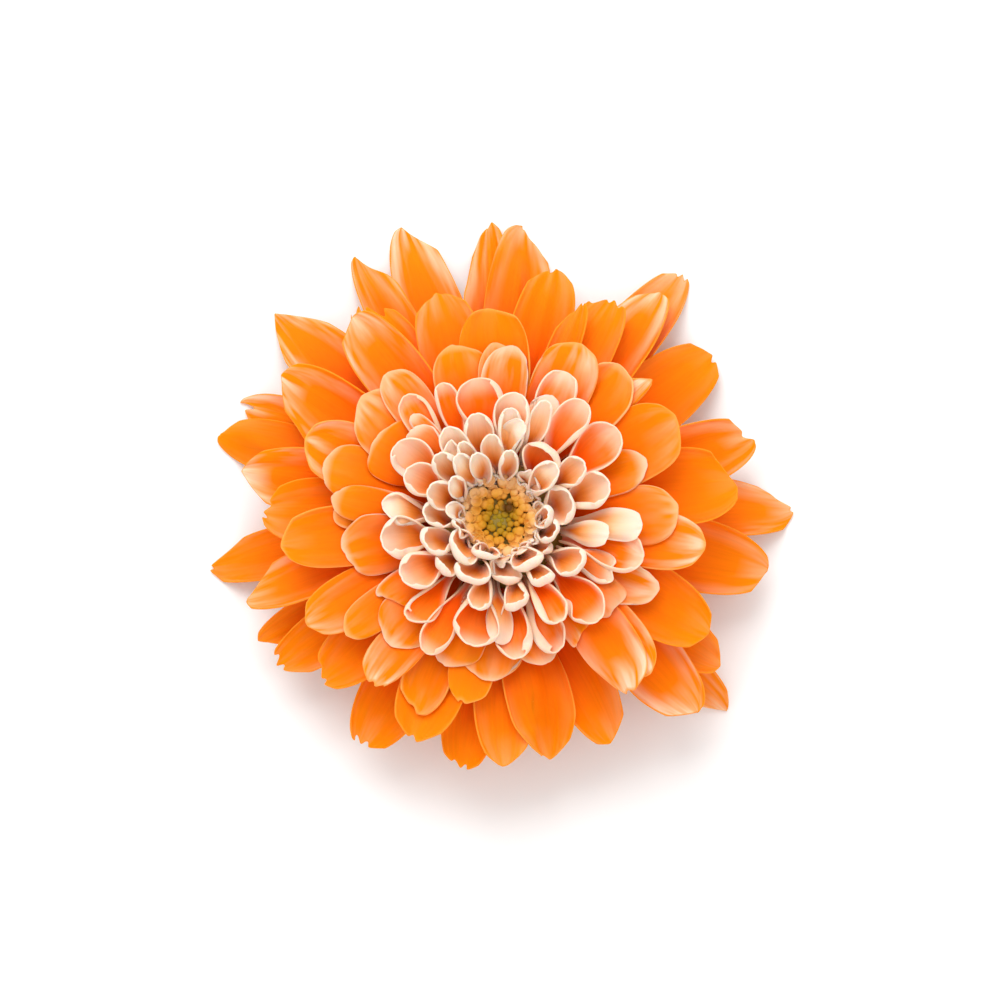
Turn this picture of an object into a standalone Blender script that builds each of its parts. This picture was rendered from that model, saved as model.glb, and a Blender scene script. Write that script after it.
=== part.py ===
"""A cut chrysanthemum head, lying face up as picked: stalk, involucre, ray florets in two tiers and a disc.

Blender 4.5, metres, +Z up. The origin is the middle of the stalk's cut end, on which the head stands. +Y is
the top of the flower as it is looked down on. A bearing is in degrees, clockwise from +Y seen from above.
"""

import itertools
import math
import random

import bmesh
import bpy
from mathutils import Vector
from mathutils.bvhtree import BVHTree

MM = 0.001
SEED = 7

# Pieces that rest on each other keep this gap.
GAP = 0.3 * MM

# Stalk: a ribbed stub cut off square below the head.
STALK_LENGTH = 2.5 * MM
STALK_RADIUS = 2.8 * MM
STALK_TOP_RADIUS = 3.3 * MM
STALK_RIBS = 9
STALK_GROOVE = 0.9

# Involucre: the green cup under the florets, with its bracts in rows.
CUP_BOTTOM = STALK_LENGTH + GAP
CUP_TOP = 7.9 * MM
CUP_BOTTOM_RADIUS = 3.5 * MM
CUP_RADIUS = 8.0 * MM
CUP_SIDES = 26
BRACT_WIDTH = 3.0 * MM
BRACT_THICKNESS = 0.7 * MM
BRACT_RISE = math.radians(30)
BRACT_FALL = math.radians(52)
# For each row of bracts: how many, and the radius and height of their roots and of their tips.
BRACT_ROWS = (
    (8, (3.4 * MM, 3.6 * MM), (6.9 * MM, 5.1 * MM)),
    (9, (5.0 * MM, 4.4 * MM), (8.6 * MM, 6.6 * MM)),
    (12, (6.4 * MM, 5.8 * MM), (9.5 * MM, 8.0 * MM)),
)

# Receptacle: its lower tier carries the outer florets, its upper tier the inner ones and the disc.
LOWER_BOTTOM = CUP_TOP + GAP
LOWER_BOTTOM_RADIUS = 7.7 * MM
LOWER_TOP = 10.8 * MM
LOWER_RADIUS = 13.0 * MM
LOWER_LIP = 0.4 * MM  # how far its edge stands out below the top
LOWER_EDGE = 1.2 * MM  # height of that edge
LOWER_SIDES = 32
UPPER_BOTTOM = LOWER_TOP + GAP
UPPER_TOP = 13.5 * MM
UPPER_RADIUS = 9.4 * MM
UPPER_RIM_RADIUS = 5.25 * MM
UPPER_RIM_HEIGHT = 15.4 * MM
UPPER_DRAFT = 0.15 * MM  # how much narrower the well for the disc is at its foot
UPPER_RISE = 1.2 * MM  # how much higher its outer edge is than its rim
UPPER_SIDES = 26
DISC_BOTTOM = UPPER_TOP + GAP
DISC_RADIUS = 4.75 * MM
DISC_RIM_HEIGHT = 14.9 * MM
DISC_EYE_HEIGHT = 14.2 * MM
DISC_SIDES = 20

# Dome that the florets' tips lie on: it falls from the middle of the head to the surface under the longest.
DOME_TOP = 19.3 * MM
DOME_FALL = 18.8 * MM
DOME_REACH = 36.0 * MM
DOME_POWER = 3.8
DOME_LIMIT = 37.0 * MM  # florets that reach further fall no lower
BLADE = 0.6 * MM  # thickness of a floret
REST_HEIGHT = BLADE / 2  # the lowest that a floret's middle surface lies

# Seam between the two tiers: a bowl of revolution that no floret crosses.
SEAM_RADIUS = 6.6 * MM
SEAM_BOTTOM = (LOWER_TOP + UPPER_BOTTOM) / 2
SEAM_RISE = 6.0 * MM
SEAM_SPREAD = 3.2 * MM
SEAM_CLEAR = 0.55 * MM
SEAM_LAYERS = 0.9 * MM  # florets that are bent clear of it spread over this much more
DISC_CLEAR = 5.55 * MM  # no inner floret's middle surface comes nearer the axis
CUP_CLEAR = 9.8 * MM  # outer florets stay above the involucre as far out as this

# What is tried as a floret is laid among its neighbours: a lift of its tip, degrees of rise and of turn.
LIFTS = (0, 0.6 * MM, -0.6 * MM, 1.2 * MM, -1.2 * MM, 1.8 * MM)
ARCHES = (0, 7, -7, 14)
TURNS = (0, 8, -8)
SKIN = 0.58 * BLADE  # how far from its middle surface a floret is felt by its neighbours

# Florets by their bearing in degrees, and their reach and width in mm. Some also state how blunt the tip
# is, as a share of the width, and a few their roll about the midrib in degrees. Those of the first two
# whorls grow from the lower tier, the rest from the upper one.
ROUND = 0.45
GUARD = (
    (357, 41, 6.5, 0.3, 25), (3.5, 40.5, 7, 0.3, -20), (12.5, 34.5, 8, 0.5), (20, 30.5, 4, 0.3),
    (26, 32.5, 8, 0.4), (33, 35.5, 8, 0.4), (35, 42, 6.5, 0.3), (51, 35.8, 9.5, 0.4),
    (69, 33.5, 8.5, 0.3, -15), (84, 37.3, 8.5, 0.25, 10), (98, 34, 9.5, 0.3), (117, 31, 9, 0.4),
    (122, 32.5, 7.5, 0.3), (126.5, 36.3, 5.5, 0.2, -15), (129, 32.5, 8, 0.3, 8), (137, 27.5, 7.5, 0.4),
    (144, 27.5, 7, 0.4, 15), (154, 30.8, 7.5, 0.4), (168.5, 29.7, 8.5, 0.4), (179, 30.2, 7.5, 0.4),
    (189, 30.6, 7.5, 0.35), (201, 29, 8.5, 0.4), (212, 32, 9, 0.3), (228, 30, 8, 0.4), (238, 32.6, 7, 0.4),
    (245, 33, 6, 0.3, 20), (254, 33, 8.5, 0.4, -10), (264.5, 37.3, 7, 0.25), (273, 30, 9, 0.3),
    (283, 33.5, 8.5, 0.4, 15), (290, 37.2, 7, 0.4), (297.5, 38, 8, 0.25), (305.5, 32.8, 9, 0.4),
    (315.5, 41.2, 9, 0.15), (325, 30.5, 8, 0.4), (329, 33.5, 8, 0.3), (332, 41, 6, 0.25),
    (341.5, 43, 8.5, 0.2), (345, 31.3, 8.5, 0.5),
)
MIDDLE = (
    (357, 27.2, 9), (358, 23, 5.5), (5, 22.6, 6), (24, 25, 8), (37, 25.3, 6.5), (47, 26.3, 5, ROUND, 35),
    (60, 26, 9.5), (69, 20.8, 5.6), (80, 30.2, 10.5), (87, 23.4, 8), (98, 26.4, 7.5),
    (113, 22.5, 6.5, ROUND, -15), (131, 21.8, 5.5, ROUND, 20), (141, 22, 5, ROUND, -30), (162, 20.8, 6.5),
    (184, 22.2, 8), (191.5, 25, 6), (202, 21.5, 7.5), (203, 27.5, 6), (217, 27, 6.5), (221, 22.6, 7.5),
    (230, 20.8, 6), (233, 25, 5), (241, 28, 7), (256, 22, 7.2), (263, 28, 8), (274.5, 22.8, 5.5, ROUND, 15),
    (279, 22.5, 5), (286, 24, 7.5), (292, 26.8, 8.5), (303, 21.3, 8.4), (311, 24, 8.8), (322, 23.8, 6),
    (346, 23.6, 7.6),
)
SPOON = (
    (350, 18, 6), (336, 18.7, 3), (322, 20, 4, ROUND, 15), (319, 17.5, 2.4), (314.5, 16.8, 3.4),
    (304, 16.2, 5.2, ROUND, 10), (293, 13.8, 4.2), (275, 15.5, 4.2), (256, 16, 5.4), (236, 16, 4.8),
    (222, 18.9, 3.4, ROUND, 30), (209, 20.2, 4.2, ROUND, 20), (192.5, 18.3, 5.8), (180.5, 16.5, 3.5),
    (173, 19.3, 4.6), (168, 14.3, 3.4, ROUND, -15), (156, 19.4, 4.6, ROUND, -20), (152, 17.6, 3.8),
    (137, 19, 5), (125, 14.3, 4.2), (119, 17.7, 3.8), (107, 19.3, 5.2), (95, 18, 4.2, ROUND, -60),
    (102, 13.9, 3.4, ROUND, -30), (77, 15.2, 4.8), (62, 13.5, 3.6), (54, 18.8, 5.4), (37, 12.6, 5.2),
    (38, 18.2, 4.4, ROUND, 20), (24.5, 20.4, 4.8), (22, 17.4, 3.8), (21, 15.8, 2.4, ROUND, -30),
    (9, 15.6, 4.8), (5, 13.7, 3), (346, 13.6, 3.7),
)
INNERMOST = (
    (354, 10.5, 2.8), (328, 13.2, 3.5), (326, 12, 2.2, ROUND, 30), (313, 11.6, 3.3),
    (288, 10.6, 3.6, ROUND, 20), (266, 10.8, 3.6), (245, 12.2, 4.2), (232, 10, 4.8, ROUND, 25),
    (226, 12.6, 3.2), (204, 11.8, 4.6), (194, 14.2, 3), (180, 10.5, 4.4), (151, 10.2, 4.2), (148, 13, 3),
    (131, 9.5, 2.6), (112, 8.8, 3.2), (78, 10.8, 5), (53, 10, 3.4, ROUND, 20), (34, 8.6, 3.2),
    (17, 12.5, 2.4, ROUND, 40), (331, 10.8, 2.2), (322, 9.6, 2.6), (302, 8.5, 2.6), (274, 7.8, 2.6),
    (249, 8.3, 2.6), (198, 8.4, 3.6), (174, 8.2, 2.6), (148, 7.4, 2.6), (95, 7.8, 2.8), (8, 8, 2.4),
    (336, 8.3, 2.6),
)
SHORTEST = 6  # mm: the florets' shape runs evenly from this reach
LONGEST = 38  # mm: to this
UPPER_LONGEST = 20.4  # mm: florets that reach further grow from the lower tier

# Where florets are rooted, as a radius and a height, from the shortest to the longest of each tier.
UPPER_ROOTS = (Vector((6.0, 13.4)) * MM, Vector((8.2, 14.9)) * MM)
LOWER_ROOTS = (Vector((6.4, 10.2)) * MM, Vector((6.8, 9.3)) * MM)

# The shape of florets, from the shortest to the longest: how far the midrib's ends turn up and down from
# its chord in degrees, the width left at the root, and half the angle that the cross section bends through.
RISE = (12, 20)
FALL = (0, 22)
CLAW = (0.42, 0.30)
ROOT_CUP = (1.5, 0.7)
TIP_CUP = (1.15, 0.25)
TOOTH = 0.03  # depth of the teeth at the tip, as a share of the length

# How much florets differ by chance, in degrees.
RISE_CHANCE = 3
FALL_CHANCE = 4
LEAN_CHANCE = 5
ROLL_CHANCE = 3

# A floret is split into more rows from these reaches on, and into more columns from these widths on, in mm.
MORE_ROWS = (9.5, 28.5)
MORE_COLUMNS = (6.2, 8.6)

# Disc: buds in a golden-angle spiral, largest at the rim.
BUDS = 46
BUD_RADIUS = 0.52 * MM
BUD_HEIGHT = 1.3 * MM
BUD_SIDES = 5
GOLDEN_ANGLE = math.radians(137.508)

ORANGE_SRGB = (1.0, 0.50, 0.04)
CREAM_SRGB = (0.97, 0.80, 0.70)
BUD_SRGB = (0.74, 0.62, 0.22)
BRACT_SRGB = (0.35, 0.48, 0.20)
STALK_SRGB = (0.42, 0.55, 0.25)


def mix(low, high, share):
    """The value a share of the way from low to high."""
    return low + (high - low) * share


def ramp(value, low, high):
    """0 at low, 1 at high, and straight between."""
    return min(1.0, max(0.0, (value - low) / (high - low)))


def ease(share):
    """A smooth step from 0 to 1."""
    return share * share * (3 - 2 * share)


def linear(srgb):
    """An sRGB colour as the linear RGBA that a material takes."""
    return [c / 12.92 if c <= 0.04045 else ((c + 0.055) / 1.055) ** 2.4 for c in srgb] + [1.0]


def finish(obj, srgb, roughness):
    """Gives an object its own plain material."""
    material = bpy.data.materials.new(obj.name)
    material.use_nodes = True
    shader = material.node_tree.nodes["Principled BSDF"]
    shader.inputs["Base Color"].default_value = linear(srgb)
    shader.inputs["Roughness"].default_value = roughness
    obj.data.materials.clear()
    obj.data.materials.append(material)


def object_from(name, bm, collection):
    """Turns a bmesh into an object."""
    mesh = bpy.data.meshes.new(name)
    bm.to_mesh(mesh)
    bm.free()
    obj = bpy.data.objects.new(name, mesh)
    collection.objects.link(obj)
    return obj


def applied(obj):
    """Replaces an object's mesh by what its modifiers make of it."""
    graph = bpy.context.evaluated_depsgraph_get()
    mesh = bpy.data.meshes.new_from_object(obj.evaluated_get(graph))
    obj.modifiers.clear()
    obj.data = mesh
    return obj


def turned(name, profile, segments, collection):
    """A solid of revolution. Its profile is (radius, height) points, from the axis's top to its foot."""
    bm = bmesh.new()
    verts = [bm.verts.new((radius, 0, height)) for radius, height in profile]
    for pair in itertools.pairwise(verts):
        bm.edges.new(pair)
    obj = object_from(name, bm, collection)
    screw = obj.modifiers.new("Turn", "SCREW")
    screw.steps = screw.render_steps = segments
    screw.use_merge_vertices = True
    screw.merge_threshold = 0.01 * MM
    return applied(obj)


def fill_pockets(obj):
    """Deletes the skins of air pockets that a union has sealed in, which are shells that face inwards."""
    bm = bmesh.new()
    bm.from_mesh(obj.data)
    left = set(bm.faces)
    while left:
        shell = [left.pop()]
        for face in shell:
            found = {other for edge in face.edges for other in edge.link_faces} & left
            left -= found
            shell += found
        if sum(face.calc_center_median().dot(face.normal) * face.calc_area() for face in shell) < 0:
            bmesh.ops.delete(bm, geom=shell, context="FACES")
    bm.to_mesh(obj.data)
    bm.free()


def fused(core, parts):
    """Joins every object of a collection to the core, and removes them."""
    union = core.modifiers.new("Grown together", "BOOLEAN")
    union.operation = "UNION"
    union.operand_type = "COLLECTION"
    union.collection = parts
    union.solver = "EXACT"
    applied(core)
    for obj in list(parts.objects):
        bpy.data.objects.remove(obj)
    bpy.data.collections.remove(parts)
    fill_pockets(core)
    return core


def helpers(name):
    """A collection for pieces that are about to be fused."""
    collection = bpy.data.collections.new(name)
    bpy.context.scene.collection.children.link(collection)
    return collection


class Blade:
    """A petal-like blade on a curved midrib, from a root to a tip that are each a radius and a height."""

    widest = 0.62  # share of the length at which it is widest
    blunt = 0.4  # width left at the very tip
    rounding = 0.06  # how far the tip's corners fall back
    corner = 2.4  # power by which they do
    handle = 0.38  # length of the midrib's handles, as a share of the chord
    rolled = 0.625  # share of the length at which the roll is complete
    crowding = 1.4  # power by which the rows crowd to the tip
    notch = 0.0
    lean = 0.0
    roll = 0.0
    strain = 0.0
    rows = 3
    columns = 2

    def __init__(self, bearing, root, tip, rise, fall, width, claw, root_cup, tip_cup):
        self.bearing = math.radians(bearing)
        self.root = Vector(root)
        self.tip = Vector(tip)
        handle = self.handle * (self.tip - self.root).length
        self.root_handle = self.root + handle * Vector((math.cos(rise), math.sin(rise)))
        self.tip_handle = self.tip - handle * Vector((math.cos(fall), math.sin(fall)))
        self.width = width
        self.claw = claw  # width left at the root
        self.root_cup = root_cup  # half the angle that its cross section bends through
        self.tip_cup = tip_cup

    def midrib(self, along):
        """The place and the direction of the midrib, each as a radius and a height."""
        back = 1 - along
        place = (back**3 * self.root + 3 * back**2 * along * self.root_handle
                 + 3 * back * along**2 * self.tip_handle + along**3 * self.tip)
        direction = (back**2 * (self.root_handle - self.root) + along**2 * (self.tip - self.tip_handle)
                     + 2 * back * along * (self.tip_handle - self.root_handle))
        return place, direction.normalized()

    def half_width(self, along):
        if along < self.widest:
            return self.width / 2 * mix(self.claw, 1, ease(along / self.widest))
        past = min(1.0, (along - self.widest) / (1 - self.widest))
        return self.width / 2 * mix(self.blunt, 1, math.sqrt(1 - past * past))

    def point(self, along, across):
        """The place at a share of the length from 0 to 1 and of the width from -1 to 1."""
        toothed = self.notch * math.cos(2 * math.pi * across) * ease(along)
        along *= 1 - self.rounding * abs(across) ** self.corner - toothed
        place, direction = self.midrib(along)
        bearing = self.bearing + self.lean * (1 - along) ** 2
        out = Vector((math.sin(bearing), math.cos(bearing), 0))
        side = Vector((math.cos(bearing), -math.sin(bearing), 0))
        up = Vector((0, 0, direction.x)) - direction.y * out
        turn = self.roll * ease(min(1.0, along / self.rolled))
        side, up = side * math.cos(turn) + up * math.sin(turn), up * math.cos(turn) - side * math.sin(turn)
        cup = mix(self.root_cup, self.tip_cup, ease(along))
        radius = self.half_width(along) / math.sin(min(cup, math.pi / 2))
        sideways = side * radius * math.sin(cup * across)
        lift = up * radius * (1 - math.cos(cup * across))
        return place.x * out + Vector((0, 0, place.y)) + sideways + lift

    def sheet(self):
        """The middle surface, split into triangles."""
        bm = bmesh.new()
        bmesh.ops.create_grid(bm, x_segments=self.columns, y_segments=self.rows, size=1)
        for vert in bm.verts:
            along = 1 - (0.5 - vert.co.y / 2) ** self.crowding
            vert.co = self.point(along, vert.co.x)
        bmesh.ops.triangulate(bm, faces=bm.faces)
        return bm

    def solid(self, name, thickness, collection):
        obj = object_from(name, self.sheet(), collection)
        shell = obj.modifiers.new("Thickness", "SOLIDIFY")
        shell.thickness = thickness
        shell.offset = 0
        return applied(obj)


def seam_height(radius):
    return SEAM_BOTTOM + SEAM_RISE * (1 - math.exp(-max(0.0, radius - SEAM_RADIUS) / SEAM_SPREAD))


def seam_margin(radius, clear):
    """The upright distance from the seam that leaves this much clear square to it."""
    slope = SEAM_RISE / SEAM_SPREAD * math.exp(-max(0.0, radius - SEAM_RADIUS) / SEAM_SPREAD)
    return clear * math.hypot(1, slope)


class Floret(Blade):
    """A ray floret. The further it reaches, the lower and flatter it lies and the less it is cupped.

    It is bent clear of the seam between the tiers, of the disc, of the involucre and of the surface below.
    """

    def __init__(self, bearing, reach, width, blunt=ROUND, roll=0, *, chance, lift, arch, turn):
        self.upper = reach <= UPPER_LONGEST
        if self.upper:
            root = UPPER_ROOTS[0].lerp(UPPER_ROOTS[1], ramp(reach, SHORTEST, UPPER_LONGEST))
        else:
            root = LOWER_ROOTS[0].lerp(LOWER_ROOTS[1], ramp(reach, UPPER_LONGEST, LONGEST))
        drop = DOME_FALL * (min(reach * MM, DOME_LIMIT) / DOME_REACH) ** DOME_POWER
        tip = Vector((reach * MM, DOME_TOP - drop + lift))
        chord = math.atan2(tip.y - root.y, tip.x - root.x)
        outward = ramp(reach, SHORTEST, LONGEST)
        super().__init__(
            bearing, root, tip,
            rise=chord + math.radians(mix(*RISE, outward) + chance[0] * RISE_CHANCE + arch),
            fall=chord - math.radians(mix(*FALL, outward) + chance[1] * FALL_CHANCE),
            width=width * MM,
            claw=mix(*CLAW, outward),
            root_cup=mix(*ROOT_CUP, outward),
            tip_cup=mix(*TIP_CUP, outward),
        )
        self.blunt = blunt
        self.lean = math.radians(chance[2] * LEAN_CHANCE)
        self.roll = math.radians(roll + turn + chance[3] * ROLL_CHANCE)
        self.notch = 0.0 if self.upper else round(1.5 * chance[4]) * TOOTH * outward
        self.clear = SEAM_CLEAR + SEAM_LAYERS * abs(chance[5])
        self.strain = abs(lift) / MM + abs(arch) / max(ARCHES) + abs(turn) / max(TURNS) / 2
        self.rows = 2 + sum(reach > more for more in MORE_ROWS)
        self.columns = 2 + sum(width > more for more in MORE_COLUMNS)

    def point(self, along, across):
        point = super().point(along, across)
        radius = math.hypot(point.x, point.y)
        if not self.upper:
            point.z = min(point.z, seam_height(radius) - seam_margin(radius, self.clear))
            point.z = max(point.z, REST_HEIGHT if radius > CUP_CLEAR else LOWER_BOTTOM + BLADE)
            return point
        nearest = DISC_CLEAR + (self.clear - SEAM_CLEAR) / 2
        if radius < nearest:
            point.xy *= nearest / radius
            radius = nearest
        point.z = max(point.z, seam_height(radius) + seam_margin(radius, self.clear))
        return point


def skin(blade):
    """Both faces of a blade, a little thicker than it is, as points and triangles."""
    bm = blade.sheet()
    bm.normal_update()
    count = len(bm.verts)
    points = [v.co + v.normal * side for side in (SKIN, -SKIN) for v in bm.verts]
    faces = [[v.index + shift for v in face.verts] for shift in (0, count) for face in bm.faces]
    bm.free()
    return points, faces


def crossings(blade, placed, core_radius, core_height):
    """How many triangles cross those of the blades already placed, outside the core that they grow from."""
    points, faces = skin(blade)
    tree = BVHTree.FromPolygons(points, faces)
    free = [math.hypot(p.x, p.y) > core_radius or p.z > core_height for p in points]
    outside = [any(free[i] for i in face) for face in faces]
    return sum(outside[pair[0]] for other in placed for pair in tree.overlap(other))


def laid(rows, draw, *core):
    """Lays florets one by one, the longest first, each bent so that it crosses its neighbours least."""
    blades = []
    placed = []
    for row in sorted(rows, key=lambda row: -row[1]):
        chance = [draw.uniform(-1, 1) for _ in range(6)]
        trials = [Floret(*row, chance=chance, lift=lift, arch=arch, turn=turn)
                  for lift in LIFTS for arch in ARCHES for turn in TURNS]
        best = min(trials, key=lambda blade: crossings(blade, placed, *core) + blade.strain)
        blades.append(best)
        placed.append(BVHTree.FromPolygons(*skin(best)))
    return blades


def make_stalk(flower):
    bm = bmesh.new()
    bmesh.ops.create_cone(bm, cap_ends=True, segments=2 * STALK_RIBS, radius1=STALK_RADIUS,
                          radius2=STALK_TOP_RADIUS, depth=STALK_LENGTH)
    bmesh.ops.translate(bm, verts=bm.verts, vec=(0, 0, STALK_LENGTH / 2))
    step = math.pi / STALK_RIBS
    for vert in bm.verts:
        if round(math.atan2(vert.co.y, vert.co.x) / step) % 2:
            vert.co.xy *= STALK_GROOVE
    finish(object_from("stalk", bm, flower), STALK_SRGB, 0.6)


def make_involucre(flower):
    cup = turned("involucre", (
        (0, CUP_TOP), (CUP_RADIUS, CUP_TOP), (0.97 * CUP_RADIUS, CUP_TOP - 1.2 * MM),
        (0.76 * CUP_RADIUS, CUP_BOTTOM + 1.6 * MM), (CUP_BOTTOM_RADIUS, CUP_BOTTOM), (0, CUP_BOTTOM),
    ), CUP_SIDES, flower)
    bracts = helpers("bracts")
    for row, (count, root, tip) in enumerate(BRACT_ROWS):
        for number in range(count):
            bearing = 360 * (number + row / len(BRACT_ROWS)) / count
            bract = Blade(bearing, root, tip, BRACT_RISE, BRACT_FALL, BRACT_WIDTH, 0.8, 0.5, 0.5)
            bract.rows = 2
            bract.widest = 0.4
            bract.blunt = 0.1
            bract.solid("bract", BRACT_THICKNESS, bracts)
    finish(fused(cup, bracts), BRACT_SRGB, 0.7)


def seam_profile(first, last, steps, clear):
    """Points along the seam between two radii, this far above it or, when negative, below it."""
    radii = [mix(first, last, step / steps) for step in range(steps + 1)]
    return [(r, seam_height(r) + math.copysign(seam_margin(r, abs(clear)), clear)) for r in radii]


def make_outer_florets(flower):
    top = seam_profile(SEAM_RADIUS, LOWER_RADIUS, 4, -GAP / 2)
    core = turned("outer_florets", (
        (0, LOWER_TOP), (SEAM_RADIUS - GAP, LOWER_TOP), *top,
        (LOWER_RADIUS + LOWER_LIP, top[-1][1] - LOWER_EDGE),
        (LOWER_BOTTOM_RADIUS, LOWER_BOTTOM), (0, LOWER_BOTTOM),
    ), LOWER_SIDES, flower)
    petals = helpers("outer petals")
    for blade in laid(GUARD + MIDDLE, random.Random(SEED), LOWER_RADIUS, DOME_TOP):
        blade.solid("petal", BLADE, petals)
    finish(fused(core, petals), ORANGE_SRGB, 0.5)


def make_inner_florets(flower):
    below = seam_profile(SEAM_RADIUS, UPPER_RADIUS, 2, GAP / 2)
    core = turned("inner_florets", (
        (0, UPPER_TOP), (UPPER_RIM_RADIUS - UPPER_DRAFT, UPPER_TOP), (UPPER_RIM_RADIUS, UPPER_RIM_HEIGHT),
        (UPPER_RADIUS, UPPER_RIM_HEIGHT + UPPER_RISE), *reversed(below),
        (SEAM_RADIUS - 2 * GAP, UPPER_BOTTOM), (0, UPPER_BOTTOM),
    ), UPPER_SIDES, flower)
    petals = helpers("inner petals")
    for blade in laid(SPOON + INNERMOST, random.Random(SEED), UPPER_RADIUS, UPPER_RIM_HEIGHT):
        blade.solid("petal", BLADE, petals)
    finish(fused(core, petals), CREAM_SRGB, 0.5)


def make_disc(flower):
    core = turned("disc_florets", (
        (0, DISC_EYE_HEIGHT), (0.35 * DISC_RADIUS, DISC_EYE_HEIGHT), (0.75 * DISC_RADIUS, DISC_RIM_HEIGHT),
        (DISC_RADIUS, DISC_RIM_HEIGHT - GAP), (DISC_RADIUS, DISC_BOTTOM), (0, DISC_BOTTOM),
    ), DISC_SIDES, flower)
    buds = helpers("buds")
    for number in range(BUDS):
        share = math.sqrt((number + 0.5) / BUDS)
        radius = share * (DISC_RADIUS - BUD_RADIUS)
        angle = number * GOLDEN_ANGLE
        girth = BUD_RADIUS * mix(0.8, 1.0, share)
        bm = bmesh.new()
        bmesh.ops.create_cone(bm, cap_ends=True, segments=BUD_SIDES, radius1=0.8 * girth, radius2=girth,
                              depth=BUD_HEIGHT)
        crown = bmesh.ops.poke(bm, faces=[face for face in bm.faces if face.normal.z > 0.9])
        bmesh.ops.translate(bm, verts=crown["verts"], vec=(0, 0, 0.7 * girth))
        height = mix(DISC_EYE_HEIGHT, DISC_RIM_HEIGHT, ease(share)) + BUD_HEIGHT / 3
        place = (radius * math.sin(angle), radius * math.cos(angle), height)
        bmesh.ops.translate(bm, verts=bm.verts, vec=place)
        object_from("bud", bm, buds)
    finish(fused(core, buds), BUD_SRGB, 0.6)


def main():
    for obj in list(bpy.data.objects):
        bpy.data.objects.remove(obj)
    flower = bpy.data.collections.new("chrysanthemum")
    bpy.context.scene.collection.children.link(flower)
    make_stalk(flower)
    make_involucre(flower)
    make_outer_florets(flower)
    make_inner_florets(flower)
    make_disc(flower)


main()
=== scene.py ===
"""A cut chrysanthemum head in full dress: ray florets, disc florets, receptacle, bracts and a stub of stalk.

Metres, +Z up. The head stands on the middle of the stalk's cut end, at the origin. +Y is the top of the
flower as it is looked down on. A bearing is in degrees, clockwise from +Y seen from above.
"""

import functools
import math
import random

import bmesh
import bpy
from bpy.props import FloatProperty, FloatVectorProperty, IntProperty, PointerProperty
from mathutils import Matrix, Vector, noise
from mathutils.bvhtree import BVHTree


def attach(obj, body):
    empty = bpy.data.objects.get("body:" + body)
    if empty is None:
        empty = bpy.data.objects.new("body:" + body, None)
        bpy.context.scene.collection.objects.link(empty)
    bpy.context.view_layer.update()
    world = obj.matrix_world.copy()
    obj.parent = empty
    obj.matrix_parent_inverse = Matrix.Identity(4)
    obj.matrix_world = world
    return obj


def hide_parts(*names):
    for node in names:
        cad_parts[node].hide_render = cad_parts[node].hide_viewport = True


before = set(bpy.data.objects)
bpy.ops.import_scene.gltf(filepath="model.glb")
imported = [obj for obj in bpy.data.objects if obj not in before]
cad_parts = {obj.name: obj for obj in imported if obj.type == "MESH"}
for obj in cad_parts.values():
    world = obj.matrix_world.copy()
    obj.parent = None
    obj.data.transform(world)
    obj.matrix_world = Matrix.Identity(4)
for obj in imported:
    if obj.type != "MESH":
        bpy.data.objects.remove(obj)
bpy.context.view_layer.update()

bl_info = {
    "name": "Chrysanthemum head",
    "version": (1, 0, 0),
    "blender": (4, 5, 0),
    "location": "3D View > Sidebar > Flower",
    "description": "Builds a cut chrysanthemum head round its solids",
    "category": "Add Mesh",
}

MM = 0.001
SEED = 7

# Places that the head's solids have too, so that every floret lies where its solid does.
LOWER_BOTTOM = 8.2 * MM
LOWER_TOP = 10.8 * MM
LOWER_RADIUS = 13.0 * MM
UPPER_BOTTOM = 11.1 * MM
UPPER_RADIUS = 9.4 * MM
UPPER_RIM_HEIGHT = 15.4 * MM
DISC_RIM_HEIGHT = 14.9 * MM
DISC_EYE_HEIGHT = 14.2 * MM

# Dome that the florets' tips lie on: it falls from the middle of the head to the surface under the longest.
DOME_TOP = 19.3 * MM
DOME_FALL = 18.8 * MM
DOME_REACH = 36.0 * MM
DOME_POWER = 3.8
DOME_LIMIT = 37.0 * MM  # florets that reach further fall no lower
BLADE = 0.6 * MM  # thickness that each floret is given room for
REST_HEIGHT = BLADE / 2  # the lowest that a floret's middle surface lies

# Seam between the two tiers: a bowl of revolution that no floret crosses.
SEAM_RADIUS = 6.6 * MM
SEAM_BOTTOM = (LOWER_TOP + UPPER_BOTTOM) / 2
SEAM_RISE = 6.0 * MM
SEAM_SPREAD = 3.2 * MM
SEAM_CLEAR = 0.55 * MM
SEAM_LAYERS = 0.9 * MM  # florets that are bent clear of it spread over this much more
DISC_CLEAR = 5.55 * MM  # no inner floret's middle surface comes nearer the axis
CUP_CLEAR = 9.8 * MM  # outer florets stay above the involucre as far out as this

# What is tried as a floret is laid among its neighbours: a lift of its tip, degrees of rise and of turn.
LIFTS = (0, 0.6 * MM, -0.6 * MM, 1.2 * MM, -1.2 * MM, 1.8 * MM)
ARCHES = (0, 7, -7, 14)
TURNS = (0, 8, -8)
SKIN = 0.58 * BLADE  # how far from its middle surface a floret is felt by its neighbours

ROUND = 0.45  # how blunt most tips are


def row(bearing, reach, width, blunt=ROUND, roll=0, **look):
    """A floret's own values, and what stands out in its look.

    The values are its bearing in degrees, its reach and width in mm, how blunt the tip is, as a share of the
    width, and its roll about the midrib in degrees. What may stand out is how pale the tip is, how far its
    point lies to one side (apex) and how sharp it is, the ribs' depth in mm, the number and depth of teeth,
    how much longer and wider it is, how many degrees it is shifted and twisted by, how much its tip closes
    and its two margins curl, how far it is from orange to cream (blush), and anything that FORM names.
    """
    return bearing, reach, width, blunt, roll, look


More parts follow.
